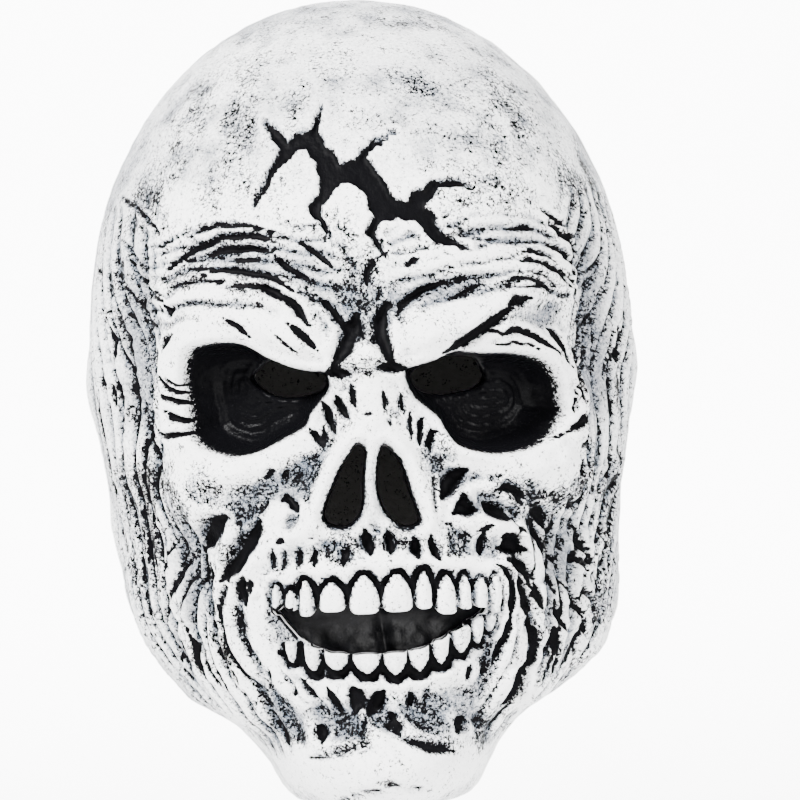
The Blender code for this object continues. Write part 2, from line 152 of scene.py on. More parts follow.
# Folds that stand proud and long hollows, from a start through a middle to an end, in mm
Fold = namedtuple("Fold", "u0 v0 u1 v1 u2 v2 width height")
folds = [Fold(*row) for row in (
    (-64, 15, -40, 27, -11, 14, 12, 7.0),
    (-66, 38, -42, 39, -16, 30, 10, 3.0),
    (8, 18, 22, 23, 48, 32, 13, 7.0),
    (8, 40, 36, 44, 70, 34, 10, 3.0),
    (34, 19, 50, 18, 64, 7, 7, 3.6),
    (-68, 8, -67, -5, -60, -14, 8, 3.6),
    (69, 6, 71, -6, 62, -18, 8, 3.6),
    (-54, -20, -38, -20.5, -21, -13, 7, 3.4),
    (24, -16, 40, -23.5, 58, -21, 7, 3.4),
    (-2, -8, -12, -20, -20, -42, 7, 4.2),
    (2, -8, 12, -20, 18, -42, 7, 4.2),
    (-34, -54.5, 0, -52.5, 37, -54.5, 4, 2.0),
    (-30, -92, 0, -93.5, 30, -88, 5, 1.4),
    (-49, -42, -50, -66, -42, -98, 8, 5.2),
    (-38, -52, -38, -76, -27, -96, 6, 3.0),
    (-60, -50, -59, -72, -50, -100, 6, 3.4),
    (-73, -48, -70, -72, -58, -100, 7, 2.8),
    (38, -56, 42, -80, 34, -100, 6, 3.4),
    (50, -58, 52, -80, 42, -104, 7, 4.4),
    (60, -56, 64, -76, 56, -100, 7, 4.0),
    (72, -60, 78, -76, 72, -96, 8, 3.0),
    (-37, -68, -14, -96, 0, -98, 5, 0.8),
    (30, -40, 44, -45, 53, -57, 5, 3.2),
    (24, -33, 34, -29, 47, -37, 4, 3.0),
    (20, -36, 30, -42, 45, -43, 4, 2.6),
    (-20, -40, -34, -47, -42, -58, 5, 2.6),
    (-9, -96, -4, -106, 2, -112, 4, 2.2),
    (6, -94, 4, -102, 12, -110, 4, 1.8),
    (-24, -98, -22, -108, -12, -114, 5, 1.6),
)]

# Grooves cut in the casting and washed with ink: start, middle, end, width and depth in mm, and how
# black the wash is
Groove = namedtuple("Groove", "u0 v0 u1 v1 u2 v2 width depth ink")
foreheadGrooves = (
    (-58, 55, -43, 59, -27, 55.5, 1.5, 0.9, 0.9),
    (-65, 46, -46, 54, -25, 53, 2.2, 1.3, 1.0),
    (-66, 45, -61, 48.5, -56, 50, 1.6, 1.0, 0.8),
    (-50, 48.5, -38, 51, -27, 48, 2.0, 1.3, 1.0),
    (-28, 48.5, -23, 44, -16, 40, 1.9, 1.2, 1.0),
    (-50, 43, -37, 44, -22, 37, 1.7, 1.1, 0.9),
    (-65, 38, -56, 41.5, -42, 41, 1.3, 0.8, 0.75),
    (-35, 38.7, -25, 34.5, -17, 24.8, 2.4, 1.5, 1.0),
    (-42, 29.5, -38.5, 27, -34, 22.3, 1.7, 1.1, 0.9),
    (-23, 26, -18.7, 21.5, -14.5, 17, 1.9, 1.2, 1.0),
    (-27, 23, -24, 20, -21, 17, 1.1, 0.6, 0.7),
    (-15, 34.5, -10, 29, -6, 21, 1.9, 1.2, 1.0),
    (-20.5, 52, -15, 48.5, -9, 43, 1.6, 1.0, 0.9),
    (-60, 33, -52, 34, -46, 34.5, 1.2, 0.5, 0.5),
    (-7.5, 50, -5, 46, -3, 42, 1.2, 0.5, 0.55),
    (7, 48.5, 4.5, 46.5, 2.5, 44.5, 1.3, 0.8, 0.8),
    (3.2, 44.5, 1, 41, 0.2, 37.5, 2.0, 1.3, 1.0),
    (3.5, 36, 2.8, 33.5, 2.4, 31.5, 1.4, 0.8, 0.8),
    (0, 49.5, 3, 50, 6, 52, 1.4, 0.7, 0.7),
    (11.5, 43, 13.5, 44.2, 16, 45.2, 1.6, 0.9, 0.9),
    (8, 27, 14.5, 34, 24.5, 37.8, 2.3, 1.5, 1.0),
    (23.5, 31, 29, 34, 34.5, 35.3, 1.6, 0.9, 0.8),
    (39, 35.5, 49, 37, 59, 33, 1.6, 0.9, 0.8),
    (21, 14.5, 32, 21.5, 42, 29.5, 3.2, 1.7, 1.0),
    (40, 29, 44, 30.5, 50, 30.5, 2.4, 1.3, 1.0),
    (35, 20.5, 48, 20, 60, 12.5, 1.8, 1.1, 1.0),
    (37, 17, 45, 17, 52, 15, 1.2, 0.6, 0.8),
    (57, 22, 61, 18.5, 65, 11.5, 1.8, 1.1, 1.0),
    (26, 52.5, 32, 53, 38, 53, 1.2, 0.6, 0.6),
    (46, 54, 51, 54.3, 56.5, 54, 1.7, 0.8, 0.9),
    (33, 50, 37, 50.2, 41, 50, 1.1, 0.5, 0.55),
    (48.5, 46, 55, 46, 61, 42.5, 1.4, 0.8, 0.75),
    (47, 43, 57, 42, 68, 35, 1.6, 1.0, 0.8),
    (49, 40, 54, 38.5, 60, 35, 1.2, 0.6, 0.6),
    (60.5, 60, 65, 57, 72, 55.5, 1.9, 1.0, 0.9),
    (62, 55, 69, 51.5, 77, 46, 1.7, 1.0, 0.85),
    (60, 48.5, 68, 45.5, 72.5, 39, 2.1, 1.3, 1.0),
    (69, 39, 71, 35, 71, 31, 1.8, 1.0, 0.8),
    (83, 38, 78, 30, 71, 22, 1.8, 1.2, 1.0),
    (93, 47, 87, 42, 80, 40, 1.8, 1.0, 0.75),
    (-105, 72, -84, 65.5, -71, 58, 1.5, 0.9, 0.85),
    (-72, 53.5, -68, 54.2, -62, 56, 1.3, 0.7, 0.8),
    (-88, 50, -77, 41, -67, 35, 1.8, 1.1, 0.85),
    (-92, 44, -80, 33, -70, 25, 1.6, 1.0, 0.75),
    (-97, 60, -84, 50, -73, 44, 1.4, 0.8, 0.6),
    (-67, 34, -64, 32, -62, 34, 2.4, 1.2, 1.0),
    (-67, 19, -64, 22.5, -60, 24.5, 2.1, 1.2, 1.0),
)
sideGrooves = (
    (-99, 42, -89, 25, -86, 12, 2.2, 1.4, 0.95),
    (-86.5, 15, -87, 9, -86, 3, 2.8, 1.5, 1.0),
    (-88, 2, -92, -6, -95, -13, 1.5, 0.9, 0.7),
    (-92, 40, -80, 22, -75, 9, 1.8, 1.2, 0.9),
    (-75, 9, -73, 4, -70, 1, 1.3, 0.8, 0.7),
    (-105, 38, -97, 22, -97, 4, 1.6, 1.0, 0.8),
    (-104, 15, -105, 12, -106, 9, 2.4, 1.2, 1.0),
    (-98, 10, -98, 6, -98, 2, 1.8, 1.0, 0.9),
    (-82, 5, -81, 1, -83, -3, 1.3, 0.8, 0.7),
    (-67.5, 11, -64, 7, -58.5, 4.5, 1.4, 0.9, 0.85),
    (-65, 10.5, -61.5, 8, -58, 6.8, 1.2, 0.7, 0.75),
    (-69, 6.5, -63.5, 3.5, -58.5, 1.8, 1.7, 1.1, 1.0),
    (-66.5, 0, -62, -3, -57.5, -4.2, 2.2, 1.3, 1.0),
    (-72.5, -4.5, -68, -7.5, -57, -8.2, 1.8, 1.2, 1.0),
    (-74.5, -5, -74, -13, -71, -21, 1.6, 1.0, 0.9),
    (-76, -7, -76.5, -9, -77, -12, 2.6, 1.2, 0.8),
    (-71, 20, -69, 14, -69, 9, 1.3, 0.8, 0.6),
    (-101, -33, -101, -37, -102, -41.5, 3.2, 1.8, 1.0),
    (-104, -47, -104.5, -50, -105, -52, 2.8, 1.6, 1.0),
    (-103, -54, -103, -56, -103.5, -58, 2.8, 1.6, 1.0),
    (-89, -33, -90, -40, -90.5, -53, 1.4, 0.8, 0.7),
    (-80, -34, -81, -37, -81.5, -40, 1.3, 0.7, 0.7),
    (-72, -41, -76.5, -50, -82, -60, 1.6, 1.0, 0.85),
    (-66, -47, -71, -54.5, -77, -65, 1.7, 1.0, 0.85),
    (-78, -62, -80, -67, -83, -72, 1.5, 0.9, 0.8),
    (-98, -16, -99, -22, -100, -29, 1.3, 0.7, 0.5),
    (-108, -22, -110, -30, -110, -38, 2.4, 1.2, 0.6),
    (-60.5, -44, -58.8, -50, -60, -56, 3.2, 1.9, 1.0),
    (-60, -55, -63.8, -62, -63.5, -72, 3.3, 1.9, 1.0),
    (-64, -53, -69, -60, -69.5, -67, 1.5, 0.9, 0.85),
    (-70, -66, -68.5, -69.5, -67, -73, 2.0, 1.2, 0.95),
    (-66.5, -73, -66.3, -80, -63, -88, 2.2, 1.4, 1.0),
    (-73, -73, -73.3, -78, -73, -84, 2.4, 1.4, 1.0),
    (-79, -76, -79.5, -79, -80, -82, 1.6, 0.9, 0.8),
    (-61.5, -76, -61.5, -83, -58.5, -90, 1.7, 1.1, 0.9),
    (-57, -83, -54.5, -88, -53, -94, 1.6, 1.0, 0.85),
    (-49, -83.5, -47.5, -86, -46, -89, 1.4, 0.8, 0.75),
    (-55, -50, -54.5, -61, -55, -70, 2.8, 1.6, 0.9),
    (-55.5, -69, -54.5, -73, -53.5, -77, 1.8, 0.9, 0.6),
    (84, 26, 76, 13, 68, -0.5, 1.6, 1.0, 0.9),
    (77, 24, 73.5, 16, 69, 9, 1.7, 1.1, 0.9),
    (58, 19.5, 64, 12, 67.5, 8, 1.7, 1.0, 0.9),
    (71, 24, 71, 0, 79, -19, 1.5, 0.9, 0.75),
    (93, 42, 85, 22, 84, 4, 1.5, 0.9, 0.65),
    (99, 30, 92, 14, 86, -2, 1.5, 0.9, 0.6),
    (101, 22, 98, 15, 95.5, 9, 2.4, 1.3, 1.0),
    (71.5, -6, 69, -9.5, 64, -11, 2.2, 1.2, 1.0),
    (75, -10, 75.5, -14, 69, -17, 1.7, 1.0, 0.9),
    (69, -1, 67.5, -4, 66, -6, 1.6, 0.9, 0.8),
    (56, -15, 60, -13, 66, -11.5, 1.2, 0.6, 0.8),
    (91, -21, 92, -25, 92, -30, 4.0, 1.9, 1.0),
    (103, -18, 106, -26, 106, -36, 2.4, 1.3, 0.8),
    (81, -30, 82.5, -36, 84, -42, 1.8, 1.0, 0.75),
    (73, -44, 77.5, -51, 84.5, -58.5, 3.0, 1.7, 1.0),
    (72, -53, 75.5, -55.5, 80, -59, 2.2, 1.1, 0.85),
    (67, -46, 68, -49, 69.5, -52, 2.4, 1.1, 0.6),
    (89, -44, 93, -50, 96, -58, 2.6, 1.5, 0.95),
    (59, -51, 62.5, -53.5, 66.5, -58, 1.9, 1.2, 0.95),
    (65, -62, 71, -68, 77, -74.5, 1.8, 1.1, 0.9),
    (76, -72.5, 80, -78, 84.5, -84, 2.2, 1.2, 0.95),
    (75, -65.5, 83, -69.5, 89, -76, 2.8, 1.6, 1.0),
    (60.5, -67, 62.5, -72, 67, -78, 1.9, 1.2, 0.95),
    (95, -57, 98, -64, 98, -70, 2.2, 1.1, 0.7),
    (78, -84, 80.5, -86, 83, -89, 2.2, 1.1, 0.8),
    (85, -62, 90, -66, 94, -74, 1.5, 0.8, 0.6),
    (62, -78, 62.5, -84, 61, -91, 1.7, 1.0, 0.8),
    (68, -82, 69, -86, 68, -91, 1.4, 0.8, 0.6),
)
cheekGrooves = (
    (-36.5, -37, -41, -45, -48.5, -55.5, 4.4, 2.4, 1.0),
    (-36.2, -37.5, -37, -40, -38.5, -42, 3.6, 1.2, 1.0),
    (-47.5, -35.5, -52.5, -39.5, -57.5, -44.5, 5.6, 2.4, 1.0),
    (-48, -42, -50.5, -47, -52, -51, 1.3, 0.7, 0.5),
    (-33.5, -29.5, -34.5, -32, -35.8, -34.5, 1.4, 0.8, 0.9),
    (-33.2, -22.8, -32, -21.2, -30.5, -20.5, 1.6, 0.8, 0.8),
    (-29, -23.5, -28, -21.5, -26.8, -20, 1.6, 0.8, 0.8),
    (-24.5, -23.5, -21, -25, -19.8, -35, 1.0, 0.4, 0.45),
    (-29, -31.5, -26.5, -30.6, -24, -34, 2.4, 1.4, 0.95),
    (-30.5, -44.5, -28.5, -43.5, -27.5, -44.5, 1.8, 0.9, 0.9),
    (-41, -54.5, -42.5, -58.5, -41.5, -64, 3.6, 1.8, 1.0),
    (-39.3, -55.5, -39, -58, -39.5, -61, 1.8, 0.8, 0.95),
    (-43, -75.5, -42.7, -77, -42.3, -79, 1.6, 0.7, 0.75),
    (-36, -84.5, -36, -86.5, -36, -88.5, 1.5, 0.8, 0.8),
    (-44.5, -91, -45, -94, -44, -97, 2.1, 0.9, 0.75),
    (28.5, -24, 24.5, -26.5, 20.3, -31.5, 4.2, 2.2, 1.0),
    (20.5, -11, 17.8, -12.5, 17.5, -16.5, 2.3, 1.3, 1.0),
    (23.8, -37, 27, -36, 31.2, -36.6, 4.2, 2.2, 1.0),
    (26.2, -31.3, 26.8, -33.5, 27.3, -36, 3.0, 1.6, 1.0),
    (34, -34.3, 36.7, -37, 41.2, -40, 3.6, 2.0, 1.0),
    (36.5, -29.8, 41, -30, 47, -33.6, 2.6, 1.3, 0.9),
    (42, -31, 44, -33, 46, -36.5, 2.2, 1.0, 0.8),
    (49.5, -37, 53.5, -39, 55.5, -43.5, 3.6, 1.9, 1.0),
    (49.5, -40, 54.5, -50, 60.3, -65, 2.0, 1.4, 1.0),
    (56, -45, 58.5, -47, 60.5, -49.5, 4.2, 1.8, 0.75),
    (37.5, -49, 42, -49.6, 46.5, -50.3, 3.8, 2.1, 1.0),
    (38.7, -45, 41, -46.5, 44.5, -49, 3.6, 2.0, 1.0),
    (29.5, -43.6, 32, -42.8, 35.5, -42, 1.9, 0.9, 0.9),
    (32.7, -43.5, 32, -47, 31.6, -51.3, 2.5, 1.4, 1.0),
    (42, -43.3, 44, -43.3, 46.8, -44.8, 1.6, 0.8, 0.85),
    (27.6, -44.5, 27, -47, 27, -50, 1.2, 0.5, 0.6),
    (40, -53.5, 46, -56, 48.2, -61.5, 3.4, 1.9, 1.0),
    (43, -58, 46, -65, 47.3, -71, 3.2, 1.7, 0.85),
    (48.5, -73, 50.3, -80, 48.3, -88, 2.2, 1.3, 0.85),
    (48.5, -86, 45.5, -92, 41.5, -100, 3.2, 1.8, 1.0),
    (36.5, -54.8, 40, -60, 40.3, -71, 2.2, 1.4, 1.0),
    (40.3, -70, 39, -78, 36.3, -87, 2.0, 1.3, 0.95),
    (50.3, -61, 51.2, -65.5, 53, -70.5, 3.4, 1.8, 1.0),
    (60.5, -76, 55.5, -85, 53, -90, 2.4, 1.5, 1.0),
    (53.5, -88, 51.5, -94.5, 49.5, -102, 3.0, 1.8, 1.0),
    (49.5, -75.5, 50, -78, 50, -80.5, 1.4, 0.6, 0.6),
    (70, -22, 68.5, -24.5, 66.8, -26.5, 3.0, 1.4, 1.0),
    (64.5, -33, 67.5, -36.8, 73.5, -34.5, 2.8, 1.2, 0.8),
    (27.6, -86.8, 27, -89, 26.4, -91.5, 1.9, 1.0, 0.95),
)
noseGrooves = (
    (-13.5, 10, -9.5, 10.5, -5.5, 9, 3.2, 1.5, 1.0),
    (1.8, 11, 5.5, 11.5, 10.5, 10.5, 3.4, 1.5, 1.0),
    (-3.5, 28, -6.5, 20, -11, 11.5, 4.0, 2.0, 1.0),
    (-3, 26, -3.4, 23, -2, 20.5, 3.0, 1.2, 0.7),
    (5.5, 31, 3.2, 22, 7, 12.5, 3.6, 2.0, 1.0),
    (2, 21, 0.5, 19.5, -0.8, 19.6, 2.0, 0.9, 0.6),
    (7.5, 31, 6.5, 29.5, 5.5, 28, 1.8, 0.9, 0.8),
    (-5.9, 4.8, -5.4, 2, -4.6, -1, 2.0, 1.1, 0.95),
    (-11, 2.8, -8.9, -1.2, -7.2, -5.2, 2.4, 1.4, 1.0),
    (-15.3, 0.8, -12.9, -3.6, -11.4, -10, 2.2, 1.4, 1.0),
    (-15.1, -7.2, -14.9, -11, -14.8, -14.2, 1.5, 0.9, 0.9),
    (-19.6, -7.8, -17.6, -10.4, -16.3, -13.3, 2.1, 1.2, 0.95),
    (3.9, 3.2, 4.2, 1, 4, -1.4, 1.7, 0.9, 0.85),
    (12, -4.3, 11.6, -8.5, 11.1, -12.7, 1.4, 0.8, 0.8),
    (15.8, -5.3, 14.4, -10, 13.8, -15.3, 1.8, 1.1, 0.95),
    (4.2, -6, 4.7, -7, 5.2, -8, 1.2, 0.5, 0.7),
    (9.5, 2, 9.2, -1, 10, -4, 1.4, 0.8, 0.7),
    (-2.5, -3.4, -1.2, -3.2, 0.2, -3, 1.3, 0.4, 0.6),
    (17.5, -25, 17.8, -31, 17.3, -38, 1.4, 0.8, 0.55),
    (-3.6, -41, -3.4, -45, -2.9, -48.8, 3.6, 1.7, 1.0),
    (3.4, -41, 3.6, -45, 3.7, -49.3, 3.5, 1.6, 0.85),
    (10.8, -44.5, 11, -47.5, 11.4, -51, 3.2, 1.6, 0.95),
    (16.4, -44, 17, -47.5, 17.7, -51.5, 2.6, 1.4, 0.95),
    (-10, -46.5, -10.2, -49.5, -10.6, -52.8, 3.0, 1.3, 0.7),
    (-18.5, -46.3, -18.6, -49, -18.9, -52.6, 1.9, 1.2, 0.95),
    (-23.2, -46.3, -23.6, -49, -24.6, -52.8, 1.6, 0.9, 0.85),
    (-28, -46.5, -28.3, -50, -28.6, -53, 1.4, 0.8, 0.75),
    (-31.6, -46, -31.8, -49, -31.8, -52.5, 1.5, 0.9, 0.8),
    (-20.6, -43, -19.8, -42.4, -18.8, -41.8, 1.2, 0.4, 0.6),
    (22, -43.5, 22.5, -46.5, 22.5, -50, 1.4, 0.7, 0.6),
    (7, -44.5, 7.3, -46, 7.5, -48, 1.6, 0.6, 0.6),
)
chinGrooves = (
    (-17.8, -91, -15.3, -95.8, -13.3, -100.5, 2.2, 1.3, 1.0),
    (-10.2, -92, -8.6, -95, -8.8, -100, 4.2, 1.9, 1.0),
    (-0.6, -93, -2.8, -97, -5, -101.5, 4.0, 1.9, 1.0),
    (-5, -101, -6.6, -105, -6.8, -109.5, 1.4, 0.7, 0.8),
    (1.3, -100, 2.4, -101.8, 3.5, -103.8, 2.1, 1.1, 0.95),
    (1.7, -103.5, 1.5, -105, 1.2, -106.5, 2.1, 1.1, 0.95),
    (5, -103.5, 4.2, -105.5, 3.2, -107.2, 2.3, 1.2, 0.95),
    (8, -93.8, 8.4, -96, 8, -99.3, 2.0, 1.1, 0.9),
    (-21.7, -104.2, -20, -106.3, -18.7, -108.8, 3.4, 1.7, 1.0),
    (27.2, -102.8, 25.5, -105, 23.6, -107.8, 3.8, 1.8, 1.0),
    (4.8, -107.8, 10, -111, 21, -114, 2.4, 0.8, 0.75),
    (-9, -111, -15, -113, -24, -114, 2.2, 0.6, 0.5),
    (-14, -127, 0, -122.5, 14, -125, 1.6, 0.8, 0.5),
    (-4, -120, 0, -120.2, 4, -121.3, 1.4, 0.5, 0.45),
    (14, -92, 13, -95.5, 13, -99, 1.2, 0.6, 0.55),
    (-25.8, -88.3, -23.5, -92, -20.3, -95.7, 2.0, 0.9, 0.7),
    (-28.6, -91.5, -28.3, -93, -28, -94.5, 1.7, 0.8, 0.7),
    (-33, -79, -31.5, -80.8, -30, -80.8, 1.5, 0.7, 0.8),
    (-34, -81, -30, -89, -24, -97, 1.3, 0.7, 0.35),
    (33, -80, 33, -86, 30, -93, 1.4, 0.7, 0.4),
)
allGrooves = foreheadGrooves + sideGrooves + cheekGrooves + noseGrooves + chinGrooves
grooves = [Groove(*row) for row in allGrooves]
# Every groove's section: its half width as a share of its width and at least so many mm, how thin its
# ends are, its depth, and the lip's place and width in half widths and its height
grooveCut = {
    "half": 0.62,
    "leastHalf": 0.5,
    "ends": 0.35,
    "depth": 1.6,
    "lipPlace": 1.75,
    "lipWidth": 0.75,
    "lipHeight": 0.75,
}

# A branching crack across the forehead: the ends of each run and its width there, in mm
CrackRun = namedtuple("CrackRun", "u0 v0 u1 v1 width0 width1")
crackRuns = [CrackRun(*row) for row in (
    (-35, 93, -26, 84, 1.0, 5.0),
    (-26, 84, -16, 86, 5.0, 6.6),
    (-16, 86, -9, 74, 6.6, 7.4),
    (-9, 74, 1, 76, 7.4, 7.0),
    (1, 76, 6, 63, 7.0, 7.0),
    (6, 63, 16, 61, 7.0, 6.2),
    (16, 61, 22, 52, 6.2, 3.6),
    (22, 52, 31, 48, 3.6, 0.8),
    (-24, 83, -30, 75, 4.6, 3.0),
    (-30, 75, -34, 64, 3.0, 0.8),
    (-9, 73, -15, 64, 5.6, 4.0),
    (-15, 64, -10, 53, 4.0, 0.8),
    (-1, 77, 5, 84, 3.4, 2.2),
    (5, 84, 14, 87, 2.2, 0.6),
    (15, 62, 24, 69, 5.0, 3.4),
    (24, 69, 35, 68, 3.4, 0.8),
    (6, 62, 2, 54, 4.2, 2.2),
    (2, 54, 6, 46, 2.2, 0.6),
    (-16, 86, -14, 97, 4.0, 0.8),
)]

# How the crack is cut, in mm: ragged is the share by which its edge wanders
crack = {"depth": 2.0, "ragged": 0.45, "spread": 1.08, "innerLip": 0.75, "outerLip": 0.9, "reach": 9.0}

# Patches where ink is rubbed or speckled on: place, half sizes in mm, tilt in degrees and strength
Patch = namedtuple("Patch", "u v halfWidth halfHeight tilt strength")
speckles = [Patch(*row) for row in (
    (-46, 95, 7, 17, 8, 0.42),
    (-23, 99, 4, 9, 0, 0.40),
    (24, 104, 9, 5, 0, 0.30),
    (50, 80, 4, 7, -25, 0.40),
    (46, 85, 9, 7, 0, 0.22),
    (84, 66, 9, 14, 0, 0.26),
    (102, 66, 5, 16, 0, 0.45),
    (-58, 42, 9, 4, 0, 0.45),
    (-34, 36, 8, 4, 0, 0.30),
    (-43, 50, 14, 5, 0, 0.25),
    (-82, 72, 10, 14, 0, 0.28),
    (-8, 56, 8, 6, -35, 0.36),
    (23, 24, 5, 5, 0, 0.32),
    (42, 27, 5, 2.5, 15, 0.5),
    (60, 35, 9, 7, 0, 0.28),
    (-2, 12, 9, 3, 0, 0.50),
    (-9, 7, 5, 3, 0, 0.45),
    (-52, -25, 6, 6, 25, 0.62),
    (-66, -30, 6, 8, 25, 0.60),
    (-77, -18, 5, 14, 0, 0.42),
    (-43, -27, 12, 6, 0, 0.30),
    (-23, -20, 8, 5, 0, 0.38),
    (-40, -36, 5, 6, 30, 0.45),
    (-11, -47, 6, 6, 0, 0.52),
    (6, -44, 6, 4, 0, 0.60),
    (17, -22, 4, 10, 0, 0.45),
    (22, -16, 4, 6, 0, 0.45),
    (23, -46, 5, 6, 0, 0.36),
    (69, -31, 7, 6, 0, 0.66),
    (75, -24, 5, 7, 0, 0.45),
    (47, -35, 7, 4, -25, 0.45),
    (-55, -62, 4, 12, 0, 0.45),
    (-38, -98, 9, 8, -20, 0.42),
    (-30, -106, 9, 4, 0, 0.35),
    (-8, -104, 6, 4, 0, 0.48),
    (-13, -112, 8, 2.5, 0, 0.45),
    (14, -110, 10, 2.5, -10, 0.50),
    (35, -108, 4, 7, 0, 0.42),
    (34, -86, 4, 8, 0, 0.34),
    (10, -100, 14, 8, 0, 0.25),
    (-47, -46, 3, 6, 25, 0.40),
    (50, -76, 3, 8, 0, 0.40),
    (-23, -55, 12, 5, 0, 0.28),
    (60, -90, 6, 6, 0, 0.35),
    (-1, 36, 6, 11, 0, 0.40),
    (-2, -3, 13, 4, 0, 0.34),
    (-1, 24, 4, 5, 0, 0.55),
    (-44, 70, 16, 7, 0, 0.30),
    (40, 66, 18, 6, 0, 0.32),
    (-70, 88, 8, 16, 0, 0.34),
    (66, 96, 7, 14, 0, 0.36),
    (-10, 112, 12, 6, 0, 0.34),
    (58, -36, 5, 7, -30, 0.55),
    (-75, 20, 4, 18, 10, 0.40),
    (76, 16, 4, 18, -10, 0.40),
    (44, -30, 10, 4, -10, 0.42),
    (-92, 40, 8, 16, 0, 0.36),
    (96, -40, 14, 22, 0, 0.36),
    (-94, -46, 14, 22, 0, 0.36),
    (92, -70, 14, 8, 0, 0.42),
)]

# Teeth: middle, width, root and tip in mm
Tooth = namedtuple("Tooth", "u width root tip")
upperTeeth = [Tooth(*row) for row in (
    (-31.6, 3.6, -57.5, -65.4),
    (-27.0, 4.4, -59.5, -66.0),
    (-22.3, 4.9, -56.6, -67.8),
    (-14.4, 8.2, -57.6, -66.7),
    (-4.8, 9.2, -55.8, -67.8),
    (5.1, 9.2, -55.8, -67.5),
    (13.0, 5.2, -55.3, -67.0),
    (20.0, 6.6, -57.0, -69.0),
    (25.8, 4.6, -57.0, -67.8),
    (31.0, 5.0, -58.0, -67.6),
    (35.6, 3.6, -57.0, -67.0),
)]
lowerTeeth = [Tooth(*row) for row in (
    (-28.4, 3.2, -83.2, -78.0),
    (-21.8, 5.2, -86.2, -79.2),
    (-14.4, 7.8, -86.4, -80.4),
    (-5.0, 8.6, -87.6, -81.0),
    (3.9, 7.4, -88.4, -81.0),
    (11.4, 6.4, -87.6, -80.4),
    (18.3, 5.4, -85.6, -77.6),
    (24.9, 5.8, -82.3, -75.4),
    (30.4, 3.8, -79.8, -73.0),
    (34.6, 3.4, -76.2, -71.6),
)]
# Relief of the teeth in mm: the crowns' rise, the notches between tips, the inked channel round them and
# its depth, the lip beyond it, and how a crown narrows from its tip (-1) to its root (1)
toothRelief = {
    "rise": 2.6,
    "upperNotch": 1.7,
    "lowerNotch": 2.2,
    "upperBand": 2.0,
    "lowerBand": 3.0,
    "cut": 1.8,
    "lip": 1.0,
    "taperPlaces": [-1, -0.4, 0.2, 0.65, 0.9, 1.0],
    "taper": [1, 0.97, 0.8, 0.5, 0.24, 0.05],
}
# The eye sockets are pans with a steep wall, in mm: the floor sinks over the slope's length
pan = {
    "depth": 12.5,
    "slope": 9.5,
    "edge": 1.2,
    "wall": (1.4, -0.6),
    "power": 2.4,
    "ringDepth": 0.5,
    "rim": 1.2,
}

# Closed outlines on the chart, each through listed corners, and the lower edge of the mouth
leftSocket = (
    (-56, 17), (-52, 20), (-45, 21), (-38, 20), (-31, 15.5), (-24, 12), (-18, 10.5), (-13.5, 10), (-12.6, 5),
    (-15.5, 1), (-19, -3.2), (-20.7, -7), (-26, -10), (-31, -12.4), (-36, -14.6), (-42, -15.8), (-48, -14.8),
    (-54.5, -12), (-58.3, -8), (-58.7, -2), (-59.5, 4), (-59.3, 9), (-58, 13.5),
)
rightSocket = (
    (10.5, 9.5), (14, 11), (19, 12.5), (25, 15), (31, 14.3), (37, 13.8), (44, 13.5), (51, 12.3), (56.5, 9.8),
    (60, 6.5), (62.3, 2.5), (63, -2), (64, -6), (60.5, -10), (57.5, -13.5), (52, -16.4), (45.5, -18.2),
    (38, -18.6), (31, -17.2), (26, -14.8), (22.8, -10), (21, -6.5), (17.5, -3.2), (13.5, 0.5), (11.3, 4.5),
)
leftEye = (
    (-41.6, 9.3), (-37, 12.8), (-31.5, 14.4), (-26, 13), (-20, 10.8), (-15.5, 9.6), (-13.6, 7.4), (-15, 3.8),
    (-20, 1.6), (-26, 0.6), (-32, 1.2), (-37.5, 3.6), (-40.8, 6.4),
)
rightEye = (
    (12.8, 7.6), (16, 10.4), (22, 12.4), (28, 13.2), (34, 12.6), (39, 9.4), (41.6, 5), (38, 1.6), (32, 0.2),
    (24, -0.4), (17, 1.2), (13.6, 4.2),
)
leftNostril = (
    (-4.8, -13.2), (-7.4, -16.4), (-9.9, -20), (-12.2, -25), (-14.4, -30), (-16.2, -35.6), (-15.4, -38.6),
    (-12.4, -40), (-9, -39.9), (-6.4, -38), (-4.6, -35), (-3.7, -31), (-3.5, -25.5), (-3.0, -20), (-2.6, -16),
)
rightNostril = (
    (3.4, -14.2), (6.2, -17), (8.3, -20.4), (9.9, -26), (11.4, -31.8), (12.9, -37.2), (12.9, -39.8),
    (9.7, -41), (6.4, -39.8), (3.4, -36.8), (1.5, -33.2), (0.5, -28.8), (0.5, -24.2), (1.0, -19.8),
    (1.9, -16),
)
mouthFloor = (
    (-34, -65.2), (-31.6, -67.6), (-28.4, -71.6), (-26, -75), (-21.4, -78.2), (-16.5, -80.2), (-10, -81.3),
    (0, -81.6), (7, -81.2), (14.6, -79.6), (19.5, -77), (25.5, -73.6), (31.2, -70.2), (35.4, -66.6),
)


def smoothThrough(knots, values, at):
    # Monotone cubic through the knots
    knots, values = np.asarray(knots, float), np.asarray(values, float)
    step = np.diff(knots)
    slope = np.diff(values) / step
    tangent = np.concatenate([slope[:1], np.zeros(len(knots) - 2), slope[-1:]])
    before, after = 2 * step[1:] + step[:-1], step[1:] + 2 * step[:-1]
    sameWay = slope[:-1] * slope[1:] > 0
    safe = [np.where(sameWay, part, 1.0) for part in (slope[:-1], slope[1:])]
    tangent[1:-1] = np.where(sameWay, (before + after) / (before / safe[0] + after / safe[1]), 0.0)
    at = np.clip(at, knots[0], knots[-1])
    k = np.clip(np.searchsorted(knots, at) - 1, 0, len(knots) - 2)
    t = (at - knots[k]) / step[k]
    rise = values[k] * (2 * t**3 - 3 * t**2 + 1) + values[k + 1] * (3 * t**2 - 2 * t**3)
    return rise + step[k] * (tangent[k] * (t**3 - 2 * t**2 + t) + tangent[k + 1] * (t**3 - t**2))


